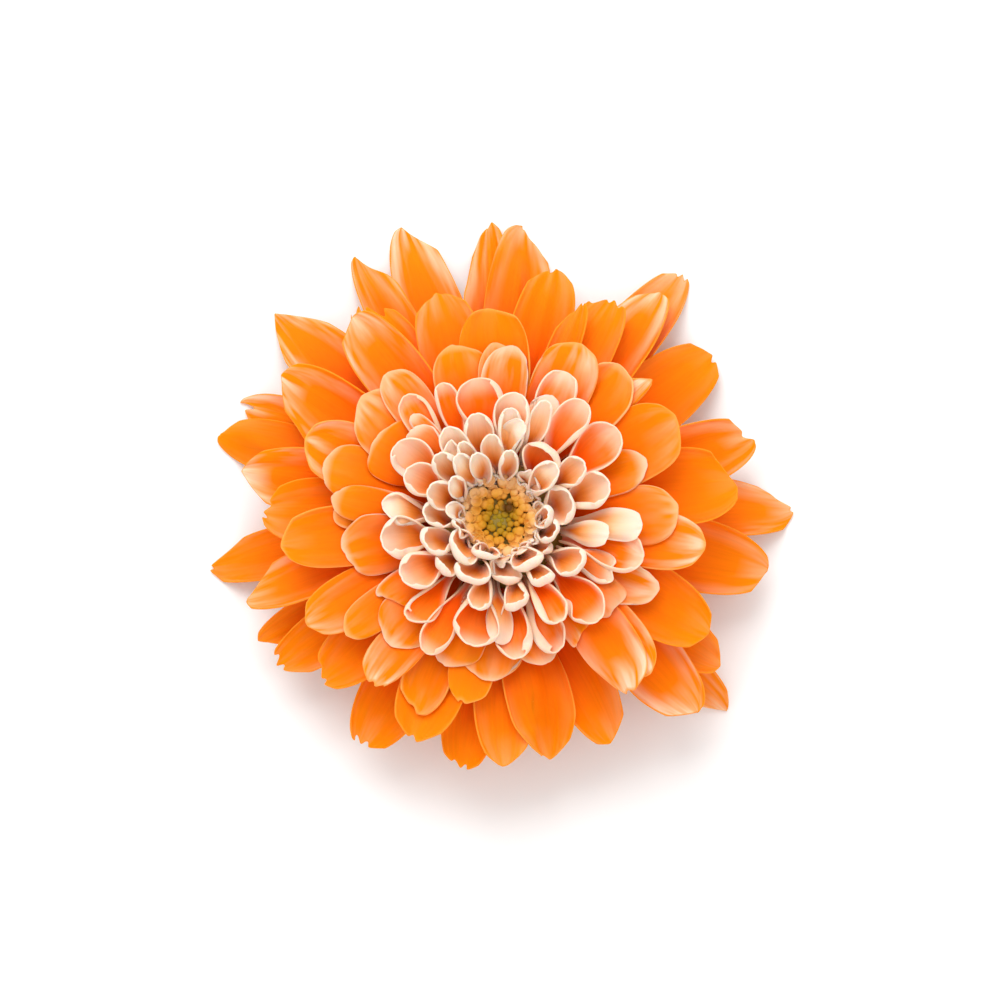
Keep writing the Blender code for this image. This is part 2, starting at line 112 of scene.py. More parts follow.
# Florets of the first two whorls grow from the lower tier, the rest from the upper one.
GUARD = (
    row(357, 41, 6.5, 0.3, 25, pale=0.6, ribs=0.35, point=0.14, apex=0.2, teeth=1, longer=1.4, shift=1),
    row(3.5, 40.5, 7, 0.3, -20, pale=0.5, ribs=0.3, apex=-0.6, point=0.14, longer=0.9, wide=1.3, shift=1),
    row(12.5, 34.5, 8, 0.5, ribs=0.2, apex=0.1, teeth=1, longer=1.2, shift=-1),
    row(20, 30.5, 4, 0.3, teeth=2, apex=0.3, point=0.2), row(26, 32.5, 8, 0.4, teeth=3, longer=1),
    row(33, 35.5, 8, 0.4, pale=0.8, ribs=0.15, apex=0.2, longer=2.8),
    row(35, 42, 6.5, 0.3, pale=0.5, apex=0.2, point=0.06, teeth=2, depth=0.03, longer=0.6, wide=1.2,
        shift=-1),
    row(51, 35.8, 9.5, 0.4, apex=0.1, point=0.08, shift=-2, longer=1, teeth=1),
    row(69, 33.5, 8.5, 0.3, -15, pale=0.4, apex=0.6, point=0.12, teeth=1, longer=1.5),
    row(84, 37.3, 8.5, 0.25, 10, pale=0.5, apex=0.1, teeth=2, point=0.16, longer=1.4),
    row(98, 34, 9.5, 0.3, pale=0.35, apex=-0.3, point=0.08, longer=0.8),
    row(117, 31, 9, 0.4, apex=-0.1, shift=1.5, longer=-0.8), row(122, 32.5, 7.5, 0.3, apex=0.3, point=0.08),
    row(126.5, 36.3, 5.5, 0.2, -15, pale=0.7, apex=-0.2, point=0.2, wide=1.3, shift=1),
    row(129, 32.5, 8, 0.3, 8, pale=0.9, apex=-0.5, point=0.1, shift=5, longer=2.2, wide=1.2),
    row(137, 27.5, 7.5, 0.4, pale=1.0, longer=0.5), row(144, 27.5, 7, 0.4, 15, pale=1.0, teeth=1, longer=1),
    row(154, 30.8, 7.5, 0.4, apex=0.3, point=0.1, longer=0.3, shift=-1),
    row(168.5, 29.7, 8.5, 0.4, teeth=1, apex=0.2, point=0.08, longer=1),
    row(179, 30.2, 7.5, 0.4, apex=0.1, point=0.1, longer=1.2),
    row(189, 30.6, 7.5, 0.35, teeth=2, depth=0.05, longer=1),
    row(201, 29, 8.5, 0.4, apex=0.0, teeth=1, longer=1.4, point=0.08),
    row(212, 32, 9, 0.3, teeth=2, apex=0.3, depth=0.05, longer=1), row(228, 30, 8, 0.4, teeth=2, apex=-0.2),
    row(238, 32.6, 7, 0.4, teeth=2, apex=0.2, point=0.14, depth=0.06, longer=1.2),
    row(245, 33, 6, 0.3, 20, apex=0.4, point=0.16, longer=0.8),
    row(254, 33, 8.5, 0.4, -10, pale=0.4, apex=-0.4, point=0.16, longer=0.8),
    row(264.5, 37.3, 7, 0.25, teeth=1, apex=-0.2, point=0.2, longer=0.8),
    row(273, 30, 9, 0.3, teeth=2, apex=-0.3),
    row(283, 33.5, 8.5, 0.4, 15, pale=1.0, apex=0.1, ribs=0.15, point=0.16, longer=0.5),
    row(290, 37.2, 7, 0.4, apex=-0.4, longer=1.8, point=0.08, shift=1),
    row(297.5, 38, 8, 0.25, pale=0.8, apex=0.8, teeth=1, depth=0.1, point=0.16),
    row(305.5, 32.8, 9, 0.4, pale=1.0, apex=0.2, longer=1.8),
    row(315.5, 41.2, 9, 0.15, pale=1.0, apex=0.0, point=0.22, longer=0.8),
    row(325, 30.5, 8, 0.4, pale=0.8, apex=0.3, longer=3),
    row(329, 33.5, 8, 0.3, teeth=3, depth=0.1, pale=0.2, longer=1.5),
    row(332, 41, 6, 0.25, pale=0.5, apex=-0.5, point=0.25, shift=1.5, longer=1),
    row(341.5, 43, 8.5, 0.2, pale=0.9, apex=-0.5, point=0.16, shift=1.5, longer=0.5),
    row(345, 31.3, 8.5, 0.5, pale=0.3, apex=0.0, teeth=2, depth=0.02),
)
MIDDLE = (
    row(357, 27.2, 9), row(358, 23, 5.5), row(5, 22.6, 6, pale=0.7), row(24, 25, 8, pale=0.9),
    row(37, 25.3, 6.5), row(47, 26.3, 5, ROUND, 35, pale=1.0), row(60, 26, 9.5), row(69, 20.8, 5.6),
    row(80, 30.2, 10.5), row(87, 23.4, 8), row(98, 26.4, 7.5, pale=0.9, closed=0.9),
    row(113, 22.5, 6.5, ROUND, -15, pale=1.0, closed=0.9),
    row(131, 21.8, 5.5, ROUND, 20, curls=(2.4, 0.4), fringe=0.55, pale=0.8),
    row(141, 22, 5, ROUND, -30, pale=0.8), row(162, 20.8, 6.5), row(184, 22.2, 8), row(191.5, 25, 6, teeth=1),
    row(202, 21.5, 7.5, teeth=2), row(203, 27.5, 6, teeth=1), row(217, 27, 6.5, pale=0.8, teeth=2),
    row(221, 22.6, 7.5, pale=0.5), row(230, 20.8, 6), row(233, 25, 5), row(241, 28, 7, pale=0.5),
    row(256, 22, 7.2), row(263, 28, 8), row(274.5, 22.8, 5.5, ROUND, 15), row(279, 22.5, 5),
    row(286, 24, 7.5), row(292, 26.8, 8.5, pale=0.7), row(303, 21.3, 8.4), row(311, 24, 8.8, pale=0.6),
    row(322, 23.8, 6, pale=0.7), row(346, 23.6, 7.6),
)
SPOON = (
    row(350, 18, 6), row(336, 18.7, 3), row(322, 20, 4, ROUND, 15, curls=(0.6, 2.0), closed=1.4),
    row(319, 17.5, 2.4), row(314.5, 16.8, 3.4), row(304, 16.2, 5.2, ROUND, 10, curls=(2.2, 0.4), fringe=0.45),
    row(293, 13.8, 4.2), row(275, 15.5, 4.2), row(256, 16, 5.4, curls=(2.2, 0.6), fringe=0.45),
    row(236, 16, 4.8), row(222, 18.9, 3.4, ROUND, 30, curls=(0.5, 2.6), fringe=0.55),
    row(209, 20.2, 4.2, ROUND, 20, curls=(2.2, 0.6), fringe=0.45), row(192.5, 18.3, 5.8),
    row(180.5, 16.5, 3.5, closed=0, curls=(0.5, 0.5)), row(173, 19.3, 4.6, curls=(2.0, 0.5), fringe=0.5),
    row(168, 14.3, 3.4, ROUND, -15), row(156, 19.4, 4.6, ROUND, -20, curls=(0.4, 2.6), fringe=0.55),
    row(152, 17.6, 3.8, curls=(0.4, 2.4), fringe=0.5), row(137, 19, 5, curls=(0.4, 2.6), fringe=0.5),
    row(125, 14.3, 4.2), row(119, 17.7, 3.8, curls=(0.4, 1.2)), row(107, 19.3, 5.2, pale=1.0, closed=1.0),
    row(95, 18, 4.2, ROUND, -60, twist=45, tube=-0.9, cup=-0.5, curls=(0, 0), closed=0, blush=0.75),
    row(102, 13.9, 3.4, ROUND, -30, twist=25, tube=-0.9, cup=-0.5, curls=(0.4, 0), closed=0, blush=0.8),
    row(77, 15.2, 4.8), row(62, 13.5, 3.6), row(54, 18.8, 5.4, curls=(0.4, 1.2)),
    row(37, 12.6, 5.2, closed=1.9, curls=(0.6, 1.2), blush=0.6),
    row(38, 18.2, 4.4, ROUND, 20, blush=0.58, curls=(0.6, 2.0)),
    row(24.5, 20.4, 4.8, curls=(0.9, 1.2), blush=0.55), row(22, 17.4, 3.8, blush=0.72, cup=0.8, closed=0.7),
    row(21, 15.8, 2.4, ROUND, -30, blush=0.8, wide=1.25, closed=0.6), row(9, 15.6, 4.8), row(5, 13.7, 3),
    row(346, 13.6, 3.7),
)
INNERMOST = (
    row(354, 10.5, 2.8), row(328, 13.2, 3.5), row(326, 12, 2.2, ROUND, 30), row(313, 11.6, 3.3),
    row(288, 10.6, 3.6, ROUND, 20), row(266, 10.8, 3.6), row(245, 12.2, 4.2), row(232, 10, 4.8, ROUND, 25),
    row(226, 12.6, 3.2), row(204, 11.8, 4.6, closed=1.5), row(194, 14.2, 3), row(180, 10.5, 4.4),
    row(151, 10.2, 4.2), row(148, 13, 3), row(131, 9.5, 2.6), row(112, 8.8, 3.2),
    row(78, 10.8, 5, closed=1.2, curls=(1.4, 0.7)), row(53, 10, 3.4, ROUND, 20), row(34, 8.6, 3.2),
    row(17, 12.5, 2.4, ROUND, 40, blush=0.9, wide=1.2, closed=0.6), row(331, 10.8, 2.2), row(322, 9.6, 2.6),
    row(302, 8.5, 2.6), row(274, 7.8, 2.6), row(249, 8.3, 2.6), row(198, 8.4, 3.6), row(174, 8.2, 2.6),
    row(148, 7.4, 2.6), row(95, 7.8, 2.8), row(8, 8, 2.4), row(336, 8.3, 2.6),
)
SHORTEST = 6  # mm: the florets' shape runs evenly from this reach
LONGEST = 38  # mm: to this
UPPER_LONGEST = 20.4  # mm: florets that reach further grow from the lower tier

# Where florets are rooted, as a radius and a height, from the shortest to the longest of each tier.
UPPER_ROOTS = (Vector((6.0, 13.4)) * MM, Vector((8.2, 14.9)) * MM)
LOWER_ROOTS = (Vector((6.4, 10.2)) * MM, Vector((6.8, 9.3)) * MM)

# The shape of florets, from the shortest to the longest: how far the midrib's ends turn up and down from
# its chord in degrees, the width left at the root, and half the angle that the cross section bends through.
RISE = (12, 20)
FALL = (0, 22)
CLAW = (0.42, 0.30)
ROOT_CUP = (1.5, 0.7)
TIP_CUP = (1.15, 0.25)
TOOTH = 0.03  # depth of the teeth at the tip, as a share of the length
TEETH_CHANCE = 1.5

# How much florets differ by chance, in degrees.
RISE_CHANCE = 3
FALL_CHANCE = 4
LEAN_CHANCE = 5
ROLL_CHANCE = 3

# A floret is split into more rows from these reaches on, and into more columns from these widths on, in mm.
MORE_ROWS = (9.5, 28.5)
MORE_COLUMNS = (6.2, 8.6)

GOLDEN_ANGLE = math.radians(137.508)
BUDS_RADIUS = 4.4 * MM  # the buds fill this much of the disc,
BUDS_SHIFT = 0.3 * MM  # this far from its middle
BUDS_SINK = 0.3 * MM
# Buds from the middle to the rim: their girth, height and lean, each with what chance multiplies it by.
BUD_GIRTHS, GIRTH_CHANCE = (0.7, 1.35), (0.75, 1.3)
BUD_HEIGHTS, HEIGHT_CHANCE = (1.4, 2.4), (0.75, 1.25)
BUD_LEANS, LEAN_SPREAD = (0.1, 0.5), (0.3, 1.4)
OUT_CHANCE = 0.15  # mm outwards
ROUND_CHANCE = 0.12  # radians round the disc
OPEN_FROM = 0.65  # share of the disc beyond which buds open,
OPEN_CHANCE = 0.6  # and how many of them do
LOBES = 5
# Disc florets, from the bottom to the top of a ball that is bent to their form: for each share of the way
# its radius and its height, as shares of the floret's, and how far its lobes stand out there.
BUD = (((0, 0), (0.2, 0.55), (0.5, 0.8), (0.7, 1), (0.85, 0.85), (1, 0)),
       ((0, 0), (0.2, 0.02), (0.5, 0.4), (0.7, 0.75), (0.85, 0.95), (1, 0.92)),
       ((0, 0), (0.5, 0), (0.8, 0.07), (1, 0.05)))
OPEN_BUD = (((0, 0), (0.2, 0.5), (0.45, 0.62), (0.65, 1.15), (0.8, 0.75), (1, 0)),
            ((0, 0), (0.2, 0.02), (0.45, 0.5), (0.65, 1), (0.8, 0.75), (1, 0.6)),
            ((0, 0), (0.45, 0.03), (0.65, 0.2), (1, 0.1)))
# Profiles of the receptacle and of the cup under it: radii and heights in mm.
RECEPTACLE = ((0, 14.3), (3.2, 14.3), (4.6, 14.2), (6.6, 13.7), (8.2, 13.0), (8.8, 11.6), (8.4, 9.6),
              (7.6, 8.25), (0, 8.25))
CUP = ((0, 7.9), (7.9, 7.9), (7.8, 6.7), (6.1, 4.4), (4.4, 3.3), (3.4, 2.8), (0, 2.8))
# For each row of bracts: how many, and the radius and height of their roots and of their tips in mm.
BRACT_ROWS = (
    (8, (3.4, 3.6), (6.9, 5.1)),
    (9, (5.0, 4.4), (8.6, 6.6)),
    (12, (6.4, 5.8), (9.5, 8.0)),
)
BRACT_THICKNESS = 0.35 * MM
KEEL = 0.18 * MM
KEEL_HALF_WIDTH = 0.2
STALK_RADIUS = 2.8 * MM
STALK_LENGTH = 2.5 * MM
STALK_RIBS = 9
STALK_RIB_DEPTH = 0.05


def mix(low, high, share):
    """The value a share of the way from low to high."""
    return low + (high - low) * share


def ramp(value, low, high):
    """0 at low, 1 at high, and straight between."""
    return min(1.0, max(0.0, (value - low) / (high - low)))


def ease(share):
    """A smooth step from 0 to 1."""
    return share * share * (3 - 2 * share)


def linear(code):
    """An sRGB hex colour as the linear RGBA that a shader takes."""
    parts = [int(code[i:i + 2], 16) / 255 for i in (1, 3, 5)]
    return [c / 12.92 if c <= 0.04045 else ((c + 0.055) / 1.055) ** 2.4 for c in parts] + [1.0]


def gridded(bm, columns, rows, crowding):
    """Adds a sheet whose rows crowd to the tip, and gives each point's place across and along it.

    Across goes from -1 to 1, and along from 0 to 1.
    """
    made = bmesh.ops.create_grid(bm, x_segments=columns, y_segments=rows, size=1)["verts"]
    return {vert: (vert.co.x, 1 - (0.5 - vert.co.y / 2) ** crowding) for vert in made}


class Outline:
    """A blade's outline. Claw and blunt are the shares of its width left at the root and at the very tip."""

    widest = 0.62  # share of the length at which it is widest
    swell = 1  # power by which it widens from the root
    roundness = 2  # power by which it is round toward the tip

    def half_width(self, along):
        if along < self.widest:
            return self.half * mix(self.claw, 1, ease(along / self.widest) ** self.swell)
        past = min(1.0, (along - self.widest) / (1 - self.widest))
        return self.half * mix(self.blunt, 1, math.sqrt(1 - past**self.roundness))


class Blade(Outline):
    """A petal-like blade on a curved midrib, from a root to a tip that are each a radius and a height."""

    rounding = 0.06  # how far the tip's corners fall back
    corner = 2.4  # power by which they do
    handle = 0.38  # length of the midrib's handles, as a share of the chord
    rolled = 0.625  # share of the length at which the roll is complete
    crowding = 1.4  # power by which the rows crowd to the tip
    notch = 0.0
    lean = 0.0
    roll = 0.0

    def __init__(self, bearing, root, tip, rise, fall, width, claw, root_cup, tip_cup):
        self.bearing = math.radians(bearing)
        self.root = Vector(root)
        self.tip = Vector(tip)
        handle = self.handle * (self.tip - self.root).length
        self.root_handle = self.root + handle * Vector((math.cos(rise), math.sin(rise)))
        self.tip_handle = self.tip - handle * Vector((math.cos(fall), math.sin(fall)))
        self.half = width / 2
        self.claw = claw
        self.root_cup = root_cup  # half the angle that its cross section bends through
        self.tip_cup = tip_cup

    def midrib(self, along):
        """The place and the direction of the midrib, each as a radius and a height."""
        back = 1 - along
        place = (back**3 * self.root + 3 * back**2 * along * self.root_handle
                 + 3 * back * along**2 * self.tip_handle + along**3 * self.tip)
        direction = (back**2 * (self.root_handle - self.root) + along**2 * (self.tip - self.tip_handle)
                     + 2 * back * along * (self.tip_handle - self.root_handle))
        return place, direction.normalized()

    def shortened(self, along, across):
        """The share of the length that is left at a place across, where the tip is rounded or toothed."""
        toothed = self.notch * math.cos(2 * math.pi * across) * ease(along)
        return along * (1 - self.rounding * abs(across) ** self.corner - toothed)

    def axes(self, along, direction):
        """Outwards, and sideways and upwards as the roll turns them."""
        bearing = self.bearing + self.lean * (1 - along) ** 2
        out = Vector((math.sin(bearing), math.cos(bearing), 0))
        side = Vector((math.cos(bearing), -math.sin(bearing), 0))
        up = Vector((0, 0, direction.x)) - direction.y * out
        turn = self.roll * ease(min(1.0, along / self.rolled))
        side, up = side * math.cos(turn) + up * math.sin(turn), up * math.cos(turn) - side * math.sin(turn)
        return out, side, up

    def point(self, along, across):
        """The place at a share of the length from 0 to 1 and of the width from -1 to 1."""
        along = self.shortened(along, across)
        place, direction = self.midrib(along)
        out, side, up = self.axes(along, direction)
        cup = mix(self.root_cup, self.tip_cup, ease(along))
        radius = self.half_width(along) / math.sin(min(cup, math.pi / 2))
        sideways = side * radius * math.sin(cup * across)
        lift = up * radius * (1 - math.cos(cup * across))
        return place.x * out + Vector((0, 0, place.y)) + sideways + lift

    def sheet(self):
        """The middle surface, split into triangles."""
        bm = bmesh.new()
        for vert, (across, along) in gridded(bm, self.columns, self.rows, self.crowding).items():
            vert.co = self.point(along, across)
        bmesh.ops.triangulate(bm, faces=bm.faces)
        return bm


def seam_height(radius):
    return SEAM_BOTTOM + SEAM_RISE * (1 - math.exp(-max(0.0, radius - SEAM_RADIUS) / SEAM_SPREAD))


def seam_margin(radius, clear):
    """The upright distance from the seam that leaves this much clear square to it."""
    slope = SEAM_RISE / SEAM_SPREAD * math.exp(-max(0.0, radius - SEAM_RADIUS) / SEAM_SPREAD)
    return clear * math.hypot(1, slope)


class Floret(Blade):
    """A ray floret. The further it reaches, the lower and flatter it lies and the less it is cupped.

    It is bent clear of the seam between the tiers, of the disc, of the involucre and of the surface below.
    """

    def __init__(self, bearing, reach, width, blunt, roll, look, *,
                 chance, lift, arch=0, turn=0, spare=False):
        self.spare = spare  # left out where it finds no room
        self.reach = reach
        self.look = look
        self.chance = chance
        self.made = (bearing, reach, width, blunt, roll, look), lift, arch, turn
        self.upper = reach <= UPPER_LONGEST
        if self.upper:
            root = UPPER_ROOTS[0].lerp(UPPER_ROOTS[1], ramp(reach, SHORTEST, UPPER_LONGEST))
        else:
            root = LOWER_ROOTS[0].lerp(LOWER_ROOTS[1], ramp(reach, UPPER_LONGEST, LONGEST))
        drop = DOME_FALL * (min(reach * MM, DOME_LIMIT) / DOME_REACH) ** DOME_POWER
        tip = Vector((reach * MM, DOME_TOP - drop + lift))
        chord = math.atan2(tip.y - root.y, tip.x - root.x)
        outward = ramp(reach, SHORTEST, LONGEST)
        super().__init__(
            bearing, root, tip,
            rise=chord + math.radians(mix(*RISE, outward) + chance[0] * RISE_CHANCE + arch),
            fall=chord - math.radians(mix(*FALL, outward) + chance[1] * FALL_CHANCE),
            width=width * MM,
            claw=mix(*CLAW, outward),
            root_cup=mix(*ROOT_CUP, outward),
            tip_cup=mix(*TIP_CUP, outward),
        )
        self.blunt = blunt
        self.lean = math.radians(chance[2] * LEAN_CHANCE)
        self.roll = math.radians(roll + turn + chance[3] * ROLL_CHANCE)
        self.notch = 0.0 if self.upper else round(TEETH_CHANCE * chance[4]) * TOOTH * outward
        self.clear = SEAM_CLEAR + SEAM_LAYERS * abs(chance[5])
        self.nearest = DISC_CLEAR + (self.clear - SEAM_CLEAR) / 2
        self.strain = abs(lift) / MM + abs(arch) / max(ARCHES) + abs(turn) / max(TURNS) / 2
        self.rows = 2 + sum(reach > more for more in MORE_ROWS)
        self.columns = 2 + sum(width > more for more in MORE_COLUMNS)

    def point(self, along, across):
        return self.cleared(super().point(along, across))

    def bent(self, *more):
        """The same floret, with this much more lift, arch and turn."""
        lift, arch, turn = (first + second for first, second in zip(self.made[1:], more))
        return Floret(*self.made[0], chance=self.chance, lift=lift, arch=arch, turn=turn, spare=self.spare)

    def cleared(self, point):
        """The point, moved clear of what the floret mustn't cross."""
        radius = math.hypot(point.x, point.y)
        if not self.upper:
            point.z = min(point.z, seam_height(radius) - seam_margin(radius, self.clear))
            return self.grounded(point)
        point = self.grounded(point)
        radius = max(radius, self.nearest)
        point.z = max(point.z, seam_height(radius) + seam_margin(radius, self.clear))
        return point

    def grounded(self, point):
        """The point, moved clear of the disc, or of the involucre and the surface below."""
        radius = math.hypot(point.x, point.y)
        if not self.upper:
            point.z = max(point.z, REST_HEIGHT if radius > CUP_CLEAR else LOWER_BOTTOM + BLADE)
        elif radius < self.nearest:
            point.xy *= self.nearest / radius
        return point


def skin(blade):
    """Both faces of a blade, a little thicker than it is, as points and triangles."""
    bm = blade.sheet()
    bm.normal_update()
    count = len(bm.verts)
    points = [v.co + v.normal * side for side in (SKIN, -SKIN) for v in bm.verts]
    faces = [[v.index + shift for v in face.verts] for shift in (0, count) for face in bm.faces]
    bm.free()
    return points, faces


def crossings(blade, placed, core_radius, core_height):
    """How many triangles cross those of the blades already placed, outside the core that they grow from."""
    points, faces = skin(blade)
    tree = BVHTree.FromPolygons(points, faces)
    free = [math.hypot(p.x, p.y) > core_radius or p.z > core_height for p in points]
    outside = [any(free[i] for i in face) for face in faces]
    return sum(outside[pair[0]] for other in placed for pair in tree.overlap(other))


def laid(rows, draw, *core):
    """Lays florets one by one, the longest first, each bent so that it crosses its neighbours least."""
    blades = []
    placed = []
    for values in sorted(rows, key=lambda values: -values[1]):
        chance = [draw.uniform(-1, 1) for _ in range(6)]
        trials = [Floret(*values, chance=chance, lift=lift, arch=arch, turn=turn)
                  for lift in LIFTS for arch in ARCHES for turn in TURNS]
        best = min(trials, key=lambda blade: crossings(blade, placed, *core) + blade.strain)
        blades.append(best)
        placed.append(BVHTree.FromPolygons(*skin(best)))
    return blades


# The form of a dressed floret by its reach in mm.
FORM = {
    # The angle in radians that the margins curl in by, and the share of the half width that does
    "curl": ((6, 0.5), (12, 0.8), (17, 1.0), (21, 0.8), (27, 0.4), (38, 0.1)),
    "fringe": ((6, 0.5), (12, 0.42), (17, 0.36), (21, 0.3), (38, 0.16)),
    # The angle that the tip curls in by, and the share of the length from which it does
    "hood": ((6, 0.9), (12, 1.1), (15, 1.0), (20, 0.7), (27, 0.35), (38, -0.1)),
    "start": ((6, 0.55), (12, 0.62), (20, 0.72), (38, 0.84)),
    # Half the angle that a rolled claw closes through, and the share of the length at which it opens
    "tube": ((6, 3.05), (14, 2.8), (20.4, 2.1), (20.5, 1.1), (38, 0.8)),
    "opening": ((6, 0.2), (12, 0.15), (18, 0.08), (20.5, 0.0), (38, 0.0)),
    # Half the angle that the blade's cross section bends through
    "cup": ((6, 1.2), (14, 1.1), (21, 0.95), (27, 0.75), (38, 0.3)),
    # The share of the length at which it is widest, and the power by which it is round beyond that
    "widest": ((6, 0.68), (17, 0.7), (25, 0.7), (30, 0.62), (38, 0.54)),
    "roundness": ((6, 2.4), (25, 2.8), (30, 2.3), (38, 1.9)),
}
# More of its form, from florets with the first of these reaches to those with the second.
OUTWARD = (20, 30)
SPANS = {
    "claw": (0.55, 1.0),  # width left at the root, as a share of the solid's
    "swell": (1.4, 1.0),  # power by which it widens from there
    "blunt": (0.5, 0.35),  # width left at the very tip, as a share of the solid's
    "wave": (0.4, 1.0),  # height of the margins' waves in mm
    "pale": (0.6, 0.2),  # how pale chance can make the tip
    "tip_margin": (0.35, 0.7),  # how broad the margin is at the tip
}
LONGER = 0.5  # mm that the outer ones are longer than their solids
BLUSH = (8, 30)  # reaches over which they go from cream to orange
BLUSH_CHANCE = 1.5
POINTS = (0.05, 0.13)  # how sharp the tip is, as a share of the length
APEX_CHANCE = 0.5
TOOTH_DEPTH = 0.04  # as a share of the length, and the next three as shares of the half width
TOOTH_SPACING = 0.62
TOOTH_SHIFT = 0.25
TOOTH_HALF_WIDTH = 0.28
HOOD_BELOW = 0.6  # how much more the florets below the disc in the picture close than those above it
HOOD_CHANCE = 0.35
SPARE_HOOD = 0.4
# The rolled florets right beside the disc: reach, width and how far their tips are sunk, all in mm.
RING_REACHES = (6.1, 7.3)
RING_WIDTHS = (2, 2.6)
RING_DROPS = (1.6, 3)
RING_JITTER = 0.25
INNERMOST_LONGEST = 13.4  # mm: florets that reach less make up the innermost whorl
PHASE = 40  # how far apart chance sets florets in the noise
# The innermost crowd in on the disc, most of all from below it in the picture: by so many mm, between these
# reaches.
INSET = (0.7, 1.5)
INSET_REACH = (14, 10)
NEARER = 0.5 * MM
RIBS = 3
RIBS_RISE = (0.1, 0.6)  # shares of the length between which they rise
MARGIN_WAVES = 4
CURL_WAVES = 1.6
CURL_CHANCE = 1.6
OPEN = 0.8  # share of the length at which the claw has become the blade
CURLED = 0.4  # share of the curling margin that is curled already
SECTION_STEPS = 28
COARSE = (6, 8)  # columns and rows of the sheets that are tried
CROWDING = 1.6  # power by which rows crowd to the tip
SIDE_CROWDING = 0.6  # share by which columns crowd to the margins
SPARE_CROSSINGS = 5  # a spare floret that crosses others more than this is left out
# What each point of a floret's mesh tells its finish: how far it is from the margin in mm, how far the floret
# is from orange to cream, how pale its tip is, and a number of its own.
MARKS = ("margin", "blush", "pale", "chance")
MARGIN = 1.2  # distance along the curled margin, as a multiple of that across
# On florets of less than this half width the margin counts as further off, so that its cream stays a rim.
NARROW = 2.2 * MM
# What is tried to part dressed florets: a lift of the tip, and degrees of rise and of turn.
EASE_LIFTS = (0, 0.4 * MM, -0.4 * MM, 0.8 * MM, -0.8 * MM, 1.3 * MM)
EASE_ARCHES = (0, 5, -5, 10)
EASE_TURNS = (0, 6, -6, 12, -12)
# For each tier: how near the axis its florets hide each other, how far from the middle surface of those that
# it lies over a floret settles, from how far above them it looks for them, and its columns and rows.
UPPER_TIER = (6.5 * MM, 0.34 * MM, 1.3 * MM, 14)
LOWER_TIER = (12.5 * MM, 0.5 * MM, 4.2 * MM, 16)
HIDDEN_FADE = 0.8  # share of that radius at which the settling begins
ROOTED = 0.2  # share of the length over which the lift begins
SPREADING = 10  # rounds that spread it evenly
# Above this height the florets are pressed down evenly, to reach little higher than their solids.
CROWN = 20 * MM
CROWN_SHARE = 0.7  # what is left of the height above it

# Trees of the outer florets, which the inner ones settle on.
LAID = []


def from_table(table, reach):
    """The value that a table of (reach, value) pairs gives for a reach, straight between its rows."""
    for (low, first), (high, second) in zip(table, table[1:]):
        if reach <= high:
            return mix(first, second, ramp(reach, low, high))
    return table[-1][1]


def section(cup, curls, fringe):
    """Both halves of a cross section of half width 1, as steps of (sideways, up) from the midrib out."""
    halves = []
    for curl in curls:
        x = z = 0.0
        steps = [(x, z)]
        for step in range(SECTION_STEPS):
            share = (step + 0.5) / SECTION_STEPS
            angle = cup * share + curl * ease(ramp(share, 1 - fringe, 1 - CURLED * fringe))
            x += math.cos(angle)
            z += math.sin(angle)
            steps.append((x, z))
        widest = max(x for x, _ in steps)
        halves.append([(x / widest, z / widest) for x, z in steps])
    return halves


def on_section(halves, across):
    """The place on a cross section, from -1 to 1 across."""
    half = halves[across > 0]
    step = abs(across) * SECTION_STEPS
    low = min(int(step), SECTION_STEPS - 1)
    x, z = (mix(a, b, step - low) for a, b in zip(half[low], half[low + 1]))
    return math.copysign(x, across), z


def charted(bm, spots):
    """Sets a sheet's UV map to the places of its points across and along."""
    uv = bm.loops.layers.uv["floret"]
    for face in {face for vert in spots for face in vert.link_faces}:
        for loop in face.loops:
            across, along, *_ = spots[loop.vert]
            loop[uv].uv = (across / 2 + 0.5, along)


